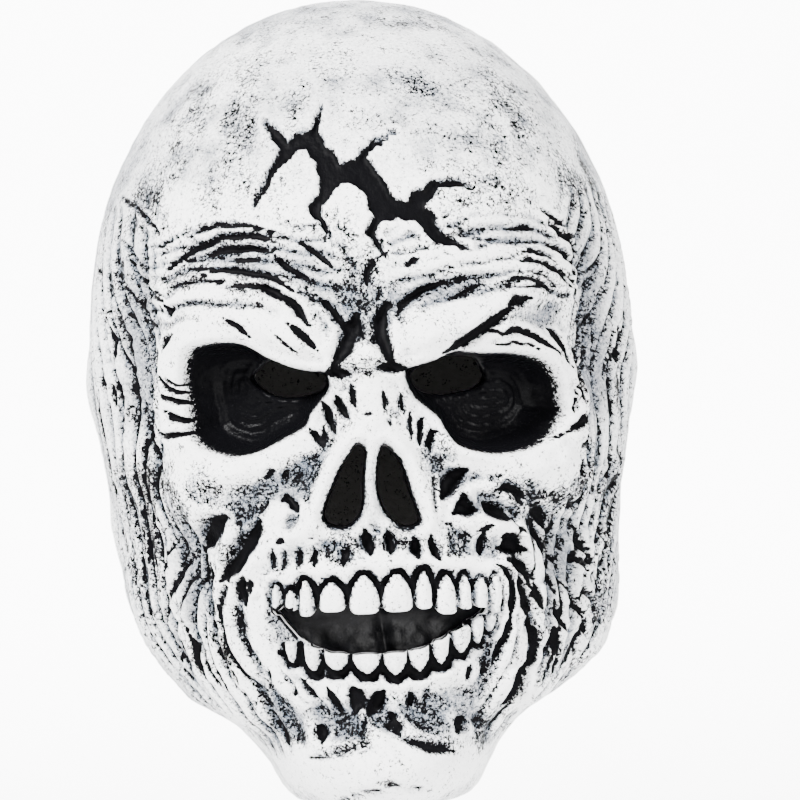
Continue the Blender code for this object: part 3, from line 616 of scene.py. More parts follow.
def smoothStep(low, high, value):
    # 0 up to low, 1 from high on, and three t squared less two t cubed between them
    t = np.clip((value - low) / (high - low), 0, 1)
    return t * t * (3 - 2 * t)


def bellAt(value, place, width):
    # A round bell over one value: e to the minus square of its distance from the place over the width
    return np.exp(-(((value - place) / width) ** 2))


# A station is the length in mm down the front from the brow line; above the line it runs from 0 to -1
drops = np.array([s.drop for s in sections])
fronts = np.array([s.front for s in sections])
stations = np.concatenate(
    [[0], np.cumsum(np.hypot(np.diff(drops) * head["faceHeight"], np.diff(fronts) * head["frontDepth"]))]
)
lowest = int(np.argmax(drops))
chartFloor = head["browHeight"] - head["faceHeight"]


def heightOf(station):
    # Chart height: level height down to the lowest section, then length along the underside
    level = head["browHeight"] - smoothThrough(stations, drops, np.maximum(station, 0)) * head["faceHeight"]
    beyond = np.maximum(station - stations[lowest], 0)
    quarter = np.clip(1 + np.minimum(station, 0), 0, 1) * math.pi / 2
    dome = head["browHeight"] + head["domeHeight"] * np.cos(quarter)
    return np.where(station < 0, dome, np.where(beyond > 0, chartFloor - beyond, level))


stationTable = np.linspace(0, stations[-1], 4000)
heightTable = heightOf(stationTable)


def stationOf(height):
    # Station of a chart height: the inverse of heightOf
    below = np.interp(-np.asarray(height, float), -heightTable, stationTable)
    cosine = np.clip((height - head["browHeight"]) / head["domeHeight"], -1, 1)
    return np.where(height > head["browHeight"], np.arccos(np.maximum(cosine, 0)) / (math.pi / 2) - 1, below)


def skin(azimuth, station):
    # A level section is a superellipse in polar form; above the brow line it shrinks as the sine and
    # rises as the cosine of a quarter turn
    azimuth, station = np.broadcast_arrays(np.asarray(azimuth, float), np.asarray(station, float))
    below = np.maximum(station, 0)
    width, front, back, power, drop = (
        smoothThrough(stations, [getattr(s, column) for s in sections], below)
        for column in ("width", "front", "back", "power", "drop")
    )
    quarter = np.clip(1 + np.minimum(station, 0), 0, 1) * math.pi / 2
    ahead = np.cos(azimuth) > 0
    reach = np.where(ahead, front * head["frontDepth"], back * head["backDepth"])
    power = np.where(ahead, power, head["backPower"])
    across = np.abs(np.sin(azimuth)) / (width * head["width"] / 2)
    along = np.abs(np.cos(azimuth)) / reach
    radius = (across**power + along**power) ** (-1 / power) * np.where(station < 0, np.sin(quarter), 1)
    height = np.where(station < 0, head["domeHeight"] * np.cos(quarter), -drop * head["faceHeight"])
    return np.stack([radius * np.sin(azimuth), -radius * np.cos(azimuth), height + head["browHeight"]], -1)


def outward(azimuth, station):
    # Unit normals of the smooth head from small steps each way
    step = np.where(np.asarray(station) < 0, 1e-3, 1e-1)
    around = skin(azimuth + 1e-3, station) - skin(azimuth - 1e-3, station)
    down = skin(azimuth, station + step) - skin(azimuth, station - step)
    normal = np.cross(down, around)
    return normal / np.maximum(np.linalg.norm(normal, axis=-1, keepdims=True), 1e-9)


def rimStation(azimuth):
    # Station of the neck rim at an azimuth; over the middle of the chin it is the last section's
    away = np.degrees(np.abs(azimuth))
    knots = [0.0, neckRim[0].azimuth * 0.7] + [p.azimuth for p in neckRim]
    rim = np.interp([p.drop for p in neckRim], drops[: lowest + 1], stations[: lowest + 1])
    return smoothThrough(knots, [stations[-1], stations[-1], *rim], away)


def latticeNoise(points, size, seed):
    # Smooth noise from -1 to 1: random values on a cubic lattice, blended by smooth steps
    cells = np.random.default_rng(seed).random((32, 32, 32)) * 2 - 1
    at = points / size + 900
    base = np.floor(at).astype(int)
    f = at - base
    f = f * f * (3 - 2 * f)
    total = 0
    for corner in range(8):
        offset = np.array([corner & 1, corner >> 1 & 1, corner >> 2 & 1])
        index = (base + offset) % 32
        weight = np.prod(np.where(offset, f, 1 - f), axis=-1)
        total = total + weight * cells[index[..., 0], index[..., 1], index[..., 2]]
    return total


def curvePoints(row, count=9):
    # A parabola through the row's start, middle and end
    t = np.linspace(0, 1, count)[:, None]
    start, middle, end = (np.array(row[i : i + 2], float) for i in (0, 2, 4))
    pull = 2 * middle - (start + end) / 2
    return (1 - t) ** 2 * start + 2 * t * (1 - t) * pull + t**2 * end


def closedCurve(corners, perSide=7):
    # Catmull-Rom through the corners, all the way round
    p = np.array(corners, float)
    t = np.linspace(0, 1, perSide, endpoint=False)[:, None]
    rows = []
    for i in range(len(p)):
        a, b, c, d = p[i - 1], p[i], p[(i + 1) % len(p)], p[(i + 2) % len(p)]
        square, cube = 2 * a - 5 * b + 4 * c - d, 3 * b - a - 3 * c + d
        rows.append(0.5 * (2 * b + (c - a) * t + square * t**2 + cube * t**3))
    return np.concatenate(rows)


def nearRun(points, line):
    # Distance to a broken line, the share along it, and the nearest point
    best = np.full(len(points), 1e9)
    along = np.zeros(len(points))
    place = np.zeros((len(points), 2))
    lengths = np.linalg.norm(np.diff(line, axis=0), axis=1)
    reached = np.concatenate([[0], np.cumsum(lengths)]) / max(lengths.sum(), 1e-9)
    for i in range(len(line) - 1):
        run = line[i + 1] - line[i]
        t = np.clip((points - line[i]) @ run / max(run @ run, 1e-12), 0, 1)
        foot = line[i] + t[:, None] * run
        away = np.linalg.norm(points - foot, axis=1)
        closer = away < best
        best = np.where(closer, away, best)
        along = np.where(closer, reached[i] + t * (reached[i + 1] - reached[i]), along)
        place = np.where(closer[:, None], foot, place)
    return best, along, place


def signedDistance(points, outline, reach=30.0):
    # Distance to a closed outline, negative inside, and the nearest point on it
    distance = np.full(len(points), reach)
    place = points.copy()
    low, high = outline.min(0) - reach, outline.max(0) + reach
    close = np.flatnonzero(((points > low) & (points < high)).all(1))
    if len(close):
        some = points[close]
        ring = np.vstack([outline, outline[:1]])
        away, _, foot = nearRun(some, ring)
        inside = np.zeros(len(some), bool)
        for a, b in zip(ring, ring[1:]):
            crosses = (a[1] > some[:, 1]) != (b[1] > some[:, 1])
            slope = (b[0] - a[0]) / (b[1] - a[1] if b[1] != a[1] else 1e-12)
            inside ^= crosses & (some[:, 0] < a[0] + slope * (some[:, 1] - a[1]))
        distance[close] = np.where(inside, -away, away)
        place[close] = foot
    return distance, place


def mouthOutline():
    # Top edge along the tips of the upper teeth, bottom edge along the tips of the lower ones. Both run
    # together towards the corners of the mouth.
    across = np.arange(-33.4, 35.01, 0.45)
    top = np.full(len(across), -64.4)
    for tooth in upperTeeth:
        share = np.abs(across - tooth.u) / (tooth.width / 2)
        edge = tooth.tip + toothRelief["upperNotch"] * share**5
        top = np.where(share < 1.05, np.minimum(top, edge), top)
    floor = np.array(mouthFloor)
    bottom = np.interp(across, floor[:, 0], floor[:, 1])
    for tooth in lowerTeeth:
        share = np.abs(across - tooth.u) / (tooth.width / 2)
        edge = tooth.tip - toothRelief["lowerNotch"] * share**5
        bottom = np.where(share < 1, np.maximum(bottom, edge), bottom)
    ends = smoothStep(0, 5, np.minimum(across + 34.2, 35.8 - across))
    middle = (top + bottom) / 2
    top, bottom = middle + (top - middle) * ends, middle + (bottom - middle) * ends
    return np.vstack([np.c_[across, top], np.c_[across, bottom][::-1]])


outlines = {
    "leftSocket": closedCurve(leftSocket),
    "rightSocket": closedCurve(rightSocket),
    "leftEye": closedCurve(leftEye),
    "rightEye": closedCurve(rightEye),
    "leftNostril": closedCurve(leftNostril),
    "rightNostril": closedCurve(rightNostril),
    "mouth": mouthOutline(),
}
# How deep the cut edge of each opening runs, and how far it closes in, in mm
openings = {
    "leftEye": (2.8, 0.2),
    "rightEye": (2.8, 0.2),
    "leftNostril": (3.6, 0.5),
    "rightNostril": (3.6, 0.5),
    "mouth": (2.8, 0.0),
}


def turned(across, up, tilt):
    # Offsets read along axes that are tilted by so many degrees
    c, s = math.cos(math.radians(tilt)), math.sin(math.radians(tilt))
    return across * c + up * s, up * c - across * s


def bell(chart, patch):
    # A round bell over a tilted ellipse
    a, b = turned(chart[:, 0] - patch.u, chart[:, 1] - patch.v, patch.tilt)
    return np.exp(-((a / patch.halfWidth) ** 2) - (b / patch.halfHeight) ** 2)


def near(chart, line, margin):
    # Which points lie in the box round a line
    low, high = line.min(0) - margin, line.max(0) + margin
    return np.flatnonzero(((chart > low) & (chart < high)).all(1))


def forms(chart):
    # The main shapes: mounds and folds as bells, and the eye sockets as steep-walled pans
    total = np.zeros(len(chart))
    for mound in mounds:
        total += mound.height * bell(chart, mound)
    for fold in folds:
        line = curvePoints(fold)
        some = near(chart, line, fold.width * 2)
        away, along, _ = nearRun(chart[some], line)
        ends = 0.45 + 0.55 * smoothStep(0, 0.25, np.minimum(along, 1 - along))
        total[some] += fold.height * ends * np.exp(-((away / (fold.width * 0.62)) ** 2))
    for name in ("leftSocket", "rightSocket"):
        away, _ = signedDistance(chart, outlines[name])
        share = np.clip((pan["edge"] - away) / pan["slope"], 0, 1)
        total -= pan["depth"] * smoothStep(*pan["wall"], away) * (1 - (1 - share) ** pan["power"])
    return total


def carveGrooves(chart, relief, ink):
    # Each groove is a bell-shaped cut with a raised lip on both sides, narrower towards its ends
    for groove in grooves:
        line = curvePoints(groove)
        some = near(chart, line, groove.width * 2.2 + 1)
        away, along, _ = nearRun(chart[some], line)
        ends = smoothStep(0, 0.28, np.minimum(along, 1 - along))
        taper = grooveCut["ends"] + (1 - grooveCut["ends"]) * ends
        share = away / np.maximum(groove.width * taper * grooveCut["half"], grooveCut["leastHalf"])
        cut = np.exp(-(share**2) * 1.1)
        lip = bellAt(share, grooveCut["lipPlace"], grooveCut["lipWidth"])
        relief[some] += groove.depth * taper * (grooveCut["lipHeight"] * lip - grooveCut["depth"] * cut)
        level = groove.ink * (1 - share) - (1 - groove.ink) * 0.45
        ink[some] = np.maximum(ink[some], np.maximum(level, -1))


def carveCrack(chart, skinPoints, relief, ink):
    # Straight runs with a ragged edge and a flat floor, and one raised lip round them all
    crackDistance = np.full(len(chart), 50.0)
    for run in crackRuns:
        line = np.array([[run.u0, run.v0], [run.u1, run.v1]], float)
        some = near(chart, line, crack["reach"])
        away, along, _ = nearRun(chart[some], line)
        half = (run.width0 + (run.width1 - run.width0) * along) / 2
        crackDistance[some] = np.minimum(crackDistance[some], away - half)
        half = half * (1 + crack["ragged"] * latticeNoise(skinPoints[some], 2.8, 11)) * crack["spread"]
        cut = crack["depth"] * smoothStep(0.6, -0.5, away - half)
        lip = crack["innerLip"] * bellAt(away - half, 0.9, 0.8)
        relief[some] = np.minimum(relief[some], lip - cut)
        ink[some] = np.maximum(ink[some], np.clip((half - away) / 1.2, -1, 1))
    relief += crack["outerLip"] * bellAt(crackDistance, 1.1, 0.8)


def carveTeeth(chart, skinPoints, relief, ink):
    # Rounded crowns that narrow to their roots, an inked channel round them, and a lip beyond it
    wander = 0.5 * latticeNoise(skinPoints, 2.4, 81)
    narrowing = np.interp(np.abs(chart[:, 0]), [20, 33, 40], [1.0, 0.45, 0.1])
    for teeth, sign, key in ((upperTeeth, 1, "upperBand"), (lowerTeeth, -1, "lowerBand")):
        gap = np.full(len(chart), 50.0)
        for tooth in teeth:
            middle, tall = (tooth.root + tooth.tip) / 2, abs(tooth.root - tooth.tip) / 2
            box = np.array([[tooth.u, tooth.root], [tooth.u, tooth.tip]])
            some = near(chart, box, tooth.width / 2 + 4.0)
            toRoot = (chart[some, 1] - middle) * sign / tall
            half = tooth.width / 2 * np.interp(toRoot, toothRelief["taperPlaces"], toothRelief["taper"])
            across = (np.abs(chart[some, 0] - tooth.u) - half) * np.interp(toRoot, [0, 1], [0.96, 0.78])
            past = (toRoot - 1) * tall
            away = np.where(past > 0, np.hypot(past, np.maximum(across, 0)), across)
            gap[some] = np.minimum(gap[some], np.where(toRoot < -1.5, 50.0, away))
        band = toothRelief[key] * narrowing
        inside = gap < 0
        body = np.sqrt(np.clip(-gap / 2.0, 0, 1))
        channel = smoothStep(-0.1, 0.35, gap) * smoothStep(band + 0.5 + wander, band - 0.5 + wander, gap)
        relief = np.where(inside, 0.1 * relief + toothRelief["rise"] * body, relief)
        relief -= toothRelief["cut"] * channel
        relief += toothRelief["lip"] * bellAt(gap - band, 1.2, 0.9)
        ink = np.where(inside, np.minimum(ink, gap * 1.5), ink)
        ink = np.maximum(ink, np.minimum((gap - 0.05) * 2.2, (band - gap + 1.2 * wander) * 1.2))
    return relief, ink


def edgeOpenings(chart, skinPoints, relief):
    # Raised rims round the nostrils, eye holes and sockets, faint rings on the socket floors, and the
    # solid black of the sockets, the nostrils and the left corner of the mouth
    paint = np.full(len(chart), -1.0)
    for name in ("leftNostril", "rightNostril"):
        away, _ = signedDistance(chart, outlines[name])
        relief += 2.2 * bellAt(away, 2.8, 2.0) - 1.4 * bellAt(np.maximum(away, 0), 0, 0.9)
        paint = np.maximum(paint, (0.55 - away) / 1.2)
    for name in ("leftEye", "rightEye"):
        away, _ = signedDistance(chart, outlines[name])
        relief += 0.8 * bellAt(away, 1.5, 1.2)
    drift = 1.9 * latticeNoise(skinPoints, 13.0, 5) + 0.7 * latticeNoise(skinPoints, 4.5, 6)
    fade = 0.6 + 0.6 * latticeNoise(skinPoints, 7.0, 7)
    for name in ("leftSocket", "rightSocket"):
        away, _ = signedDistance(chart, outlines[name])
        rings = np.sin(away * 2.3 + drift) * fade
        relief += pan["ringDepth"] * rings * smoothStep(-0.8, -2.6, away)
        relief += pan["rim"] * bellAt(away, 1.8, 1.5)
        paint = np.maximum(paint, (0.2 - away) / 1.6)
    away, _ = signedDistance(chart, outlines["mouth"])
    return relief, np.maximum(paint, np.where(chart[:, 0] < -26, 1.0 - away, -1))


def details(chart, skinPoints):
    # Carved relief in mm, ink and paint. Both of these are above 0 where the casting is black, and fall
    # off outside. Grooves and crack are cut on a chart that is bent a little, so that no edge is straight.
    relief = np.zeros(len(chart))
    ink = np.full(len(chart), -1.0)
    bend = [
        0.8 * latticeNoise(skinPoints, 6.0, seed) + 0.45 * latticeNoise(skinPoints, 2.4, seed + 1)
        for seed in (61, 64)
    ]
    bent = chart + np.stack(bend, -1)
    carveGrooves(bent, relief, ink)
    carveCrack(bent, skinPoints, relief, ink)
    relief, ink = carveTeeth(chart, skinPoints, relief, ink)
    relief, paint = edgeOpenings(chart, skinPoints, relief)
    return relief, ink, paint


def faded(u, v, area):
    # 1 inside an area of the chart and 0 outside, with soft edges from the first value to the second
    aside = smoothStep(*area["inner"], u) * smoothStep(*area["outer"], u)
    return aside * smoothStep(*area["top"], v) * smoothStep(*area["bottom"], v)


def washed(area, level, floor):
    # Ink inside an area: its level less a floor, and none where the area fades out
    return np.where(area > 0.05, area * level - floor, -1)


# Waves of relief: the area on the chart in mm, the wave's pitch in radians for each mm, and the height of
# its ridges and how far it lies below the skin, in mm. Strands lean above and below the ears.
sideStrands = {
    "inner": (64, 78),
    "outer": (146, 104),
    "top": (76, 44),
    "bottom": (-106, -88),
    "pitch": 0.86,
    "rise": 2.9,
    "below": 1.9,
    "lean": 0.42,
    "leanOver": 8,
    "leanUnder": -24,
}
mouthSinews = {
    "inner": (22, 36),
    "outer": (84, 70),
    "top": (-30, -46),
    "bottom": (-118, -102),
    "ring": (40, 46),
    "centre": -60,
    "rise": 2.3,
    "below": 1.5,
}
browWrinkles = {
    "inner": (2, 12),
    "outer": (88, 70),
    "top": (64, 52),
    "bottom": (26, 34),
    "pitch": 0.62,
    "rise": 1.25,
    "below": 0.85,
    "archMiddle": 42,
    "arch": 0.0068,
}


def strands(chart, skinPoints):
    # Sinewy strands down the sides: a wave across them, bent by slow noise. They lean in towards the
    # face above the ears and again below them, and some of them split in two.
    u, v = np.abs(chart[:, 0]), chart[:, 1]
    area = faded(u, v, sideStrands)
    over, under = np.maximum(v - sideStrands["leanOver"], 0), np.minimum(v - sideStrands["leanUnder"], 0)
    lean = u - sideStrands["lean"] * over - sideStrands["lean"] * under
    stretched = skinPoints * [1, 1, 0.5]
    drift = 13 * latticeNoise(stretched, 34.0, 21) + 3.4 * latticeNoise(stretched, 12.0, 22)
    phase = (lean + drift) * sideStrands["pitch"]
    split = smoothStep(-0.1, 0.3, latticeNoise(skinPoints * [1, 1, 0.4], 16.0, 24))
    ridge = np.abs(np.cos(phase / 2))
    fine = np.abs(np.cos(phase + 0.8 + latticeNoise(skinPoints, 9.0, 25)))
    whole = (sideStrands["rise"] * ridge - sideStrands["below"]) * (1 - 0.45 * split)
    relief = area * (whole + split * (1.1 * fine - 0.7))
    breaks = latticeNoise(skinPoints * [1, 1, 0.35], 8.0, 23)
    narrow = np.maximum(smoothStep(0.44, 0.05, ridge), split * smoothStep(0.36, 0.04, fine))
    return relief, washed(area, 1.2 * narrow + 0.85 * breaks, 0.60)


def flows(chart, skinPoints):
    # Sinews that run as arcs round the mouth, and fine wrinkles that arch over the brows: waves whose
    # phase is the distance from the mouth or the height above the brow, bent and broken by slow noise
    u, v = np.abs(chart[:, 0]), chart[:, 1]
    away = np.hypot(u, (v - mouthSinews["centre"]) / 1.45)
    area = smoothStep(*mouthSinews["ring"], away) * faded(u, v, mouthSinews)
    drift = 4.4 * latticeNoise(skinPoints, 24.0, 71) + 1.8 * latticeNoise(skinPoints, 9.0, 72)
    ridge = np.abs(np.cos((away + drift) / 2))
    breaks = latticeNoise(skinPoints * [1, 1, 0.5], 8.0, 73)
    relief = area * (mouthSinews["rise"] * ridge - mouthSinews["below"])
    ink = washed(area, 1.25 * smoothStep(0.40, 0.04, ridge) + 0.9 * breaks, 0.58)
    fromMiddle = u - browWrinkles["archMiddle"]
    arch = v + browWrinkles["arch"] * fromMiddle**2 * np.where(fromMiddle < 0, 0.9, 0.35)
    area = faded(u, v, browWrinkles)
    drift = 2.2 * latticeNoise(skinPoints, 20.0, 74) + 0.9 * latticeNoise(skinPoints, 7.0, 75)
    crease = np.abs(np.cos(arch * browWrinkles["pitch"] + drift))
    relief += area * (browWrinkles["rise"] * crease - browWrinkles["below"])
    breaks = latticeNoise(skinPoints * [0.5, 0.5, 1], 6.5, 76)
    browInk = washed(area, 0.95 * smoothStep(0.30, 0.03, crease) + 0.9 * breaks, 0.72)
    return relief, np.maximum(ink, browInk)


# How thick the speckle is: everywhere, beside a groove, in slow clouds, and how much less where it is bare
speckleLevels = {"ground": 0.13, "halo": 0.34, "cloud": 0.20, "bare": 0.3}
# How strong the grey is, partly airbrushing and partly painted shade: on the sides, jaw and temples,
# everywhere, and on the crown
airbrushAndShadeLevels = {"side": 0.46, "jaw": 0.34, "temple": 0.30, "ground": 0.12, "crown": 0.30}


def dust(chart, skinPoints, ink):
    # How thickly ink is speckled: patches, a halo round each groove and a thin scatter all over, less on
    # the chin and the bridge of the nose
    total = np.full(len(chart), speckleLevels["ground"])
    for patch in speckles:
        spot = bell(chart, patch)
        total = np.maximum(total, 1.15 * patch.strength * smoothStep(0.03, 0.6, spot) + 0.1)
    total += speckleLevels["halo"] * bellAt(np.maximum(-ink, 0), 0, 0.8)
    total += speckleLevels["cloud"] * latticeNoise(skinPoints, 14.0, 31)
    chin = bellAt(chart[:, 1], -121, 7)
    bridge = np.exp(-(((chart[:, 0] + 1) / 10) ** 2) - ((chart[:, 1] + 11) / 6) ** 2)
    return np.clip(total - speckleLevels["bare"] * (chin + bridge), 0, 1)


def haze(chart, skinPoints):
    # Grey airbrushing with painted shade where the head turns from the light: down both sides, round the
    # dome's edge and over the crown
    u, v = np.abs(chart[:, 0]), chart[:, 1]
    cloud = 0.5 + 0.5 * latticeNoise(skinPoints, 26.0, 41)
    side = smoothStep(60, 120, u) * (0.45 + 0.55 * smoothStep(120, 60, v))
    jaw = np.exp(-(((u - 66) / 15) ** 2) - ((v + 62) / 28) ** 2)
    temple = np.exp(-(((u - 84) / 14) ** 2) - ((v - 22) / 30) ** 2)
    dome = smoothStep(56, 84, v) * (0.10 + 0.22 * smoothStep(0.35, 0.8, cloud))
    dome = dome + airbrushAndShadeLevels["crown"] * smoothStep(112, 136, v)
    sides = airbrushAndShadeLevels["side"] * side + airbrushAndShadeLevels["jaw"] * jaw + airbrushAndShadeLevels["temple"] * temple
    return np.clip(sides * (0.5 + 0.8 * cloud) + dome + airbrushAndShadeLevels["ground"], 0, 1)


def hollowness(relief, count, reach):
    # How far each point lies below the mean of its neighbours, over a square of the grid
    grid = relief.reshape(-1, count)
    padded = np.pad(grid, ((reach, reach), (0, 0)), mode="edge")
    padded = np.pad(padded, ((0, 0), (reach, reach)), mode="wrap")
    total = np.pad(padded.cumsum(0).cumsum(1), ((1, 0), (1, 0)))
    wide = 2 * reach + 1
    squares = total[wide:, wide:] - total[:-wide, wide:] - total[wide:, :-wide] + total[:-wide, :-wide]
    return (squares / wide**2 - grid).ravel()


def placed(limits, spacing, at):
    # Positions whose spacing follows a table, from one limit to the other
    fine = np.linspace(limits[0], limits[1], 6000)
    density = 1 / np.interp(fine, at, spacing)
    count = np.concatenate([[0], np.cumsum((density[1:] + density[:-1]) / 2 * np.diff(fine))])
    steps = int(round(count[-1]))
    return np.interp(np.linspace(0, count[-1], steps + 1), count, fine)


def gridPlaces(table):
    # Azimuths of the columns and stations of the rows, dense over the face. The rows run level down to
    # the jaw and are drawn to the neck rim below it.
    half = placed((0, math.pi * chartRadius), table["columns"], table["columnPlaces"]) / chartRadius
    azimuths = np.concatenate([half, -half[1:-1][::-1]])
    arc = chartRadius * 1.06 * math.pi / 2
    dome = placed((0, arc), table["dome"], [0, 80, 105, 138, arc]) / arc - 1
    jawStart = float(stationOf(-45.0))
    face = placed((0, jawStart), table["face"], [0, 20, 72, jawStart])
    span = stations[-1] - jawStart
    low = placed((0, span), table["low"], [0, 47, 66, 92, span])
    rows = [np.full(len(azimuths), s) for s in [*dome[1:], *face[1:]]]
    rim = rimStation(azimuths)
    rows += [jawStart + share * (rim - jawStart) for share in low[1:] / span]
    return azimuths, np.array(rows)


def cutGrid(table):
    # A grid on the chart with the openings cut out. Faces inside an outline go, and the points left
    # on its edge are drawn onto it.
    azimuths, rows = gridPlaces(table)
    count = len(azimuths)
    across = np.broadcast_to(azimuths * chartRadius, rows.shape)
    chart = np.stack([across, heightOf(rows)], -1).reshape(-1, 2)
    station = rows.reshape(-1).copy()
    faceCount = (len(rows) - 1) * count
    i, j = np.divmod(np.arange(faceCount), count)
    k = (j + 1) % count
    quads = np.stack([i * count + j, (i + 1) * count + j, (i + 1) * count + k, i * count + k], -1)
    keep = np.ones(faceCount, bool)
    # The column of faces that closes the ring at the back spans the whole chart
    local = np.abs(chart[quads[:, 0], 0] - chart[quads[:, 2], 0]) < 20
    for name in openings:
        away, _ = signedDistance(chart[quads].mean(1), outlines[name], 6.0)
        keep &= ~((away < 0) & local)
    faces = quads[keep]
    loops = {}
    for attempt in range(8):
        found, pinches = boundaryLoops(faces, count, len(chart))
        if not pinches:
            break
        faces = faces[~np.isin(faces, list(pinches)).any(1)]
    for loop in found:
        middle = chart[loop].mean(0)
        name = min(openings, key=lambda n: np.linalg.norm(outlines[n].mean(0) - middle))
        if len(loop) > len(loops.get(name, [])):
            loops[name] = loop
    print("openings", {n: len(x) for n, x in loops.items()}, "loops", len(found), "tries", attempt)
    for name, loop in loops.items():
        _, foot = signedDistance(chart[loop], outlines[name], 12.0)
        chart[loop] = foot
        station[loop] = stationOf(foot[:, 1])
    return azimuths, chart, station, faces, loops


def boundaryLoops(faces, count, total):
    # Closed loops of edges that only one face uses, apart from the first and last row, and the
    # points where two loops touch
    starts, ends = faces.ravel(), np.roll(faces, -1, axis=1).ravel()
    single = ~np.isin(starts.astype(np.int64) * total + ends, ends.astype(np.int64) * total + starts)
    single &= (starts >= count) & (starts < total - count) | (ends >= count) & (ends < total - count)
    following, pinches = {}, set()
    for a, b in zip(starts[single].tolist(), ends[single].tolist()):
        if a in following:
            pinches.add(a)
        following[a] = b
    loops = []
    while following and not pinches:
        at, loop = next(iter(following)), []
        while at in following:
            loop.append(at)
            at = following.pop(at)
        loops.append(loop)
    return loops, pinches


def zipped(first, second, points):
    # Triangles between two closed loops of different counts, always closing the shorter diagonal
    a, b = list(first), list(second)
    start = int(np.argmin(np.linalg.norm(points[b] - points[a[0]], axis=1)))
    b = b[start:] + b[:start]
    a.append(a[0])
    b.append(b[0])
    faces, i, j = [], 0, 0
    while i < len(a) - 1 or j < len(b) - 1:
        forward = np.linalg.norm(points[a[i + 1]] - points[b[j]]) if i < len(a) - 1 else 1e9
        other = np.linalg.norm(points[a[i]] - points[b[j + 1]]) if j < len(b) - 1 else 1e9
        if forward <= other:
            faces.append((a[i], a[i + 1], b[j]))
            i += 1
        else:
            faces.append((a[i], b[j + 1], b[j]))
            j += 1
    return faces


def toFrame(points):
    # From mm about the middle of the eyes to metres in the part's frame
    return (points - [0, 0, head["crownHeight"]]) / 1000


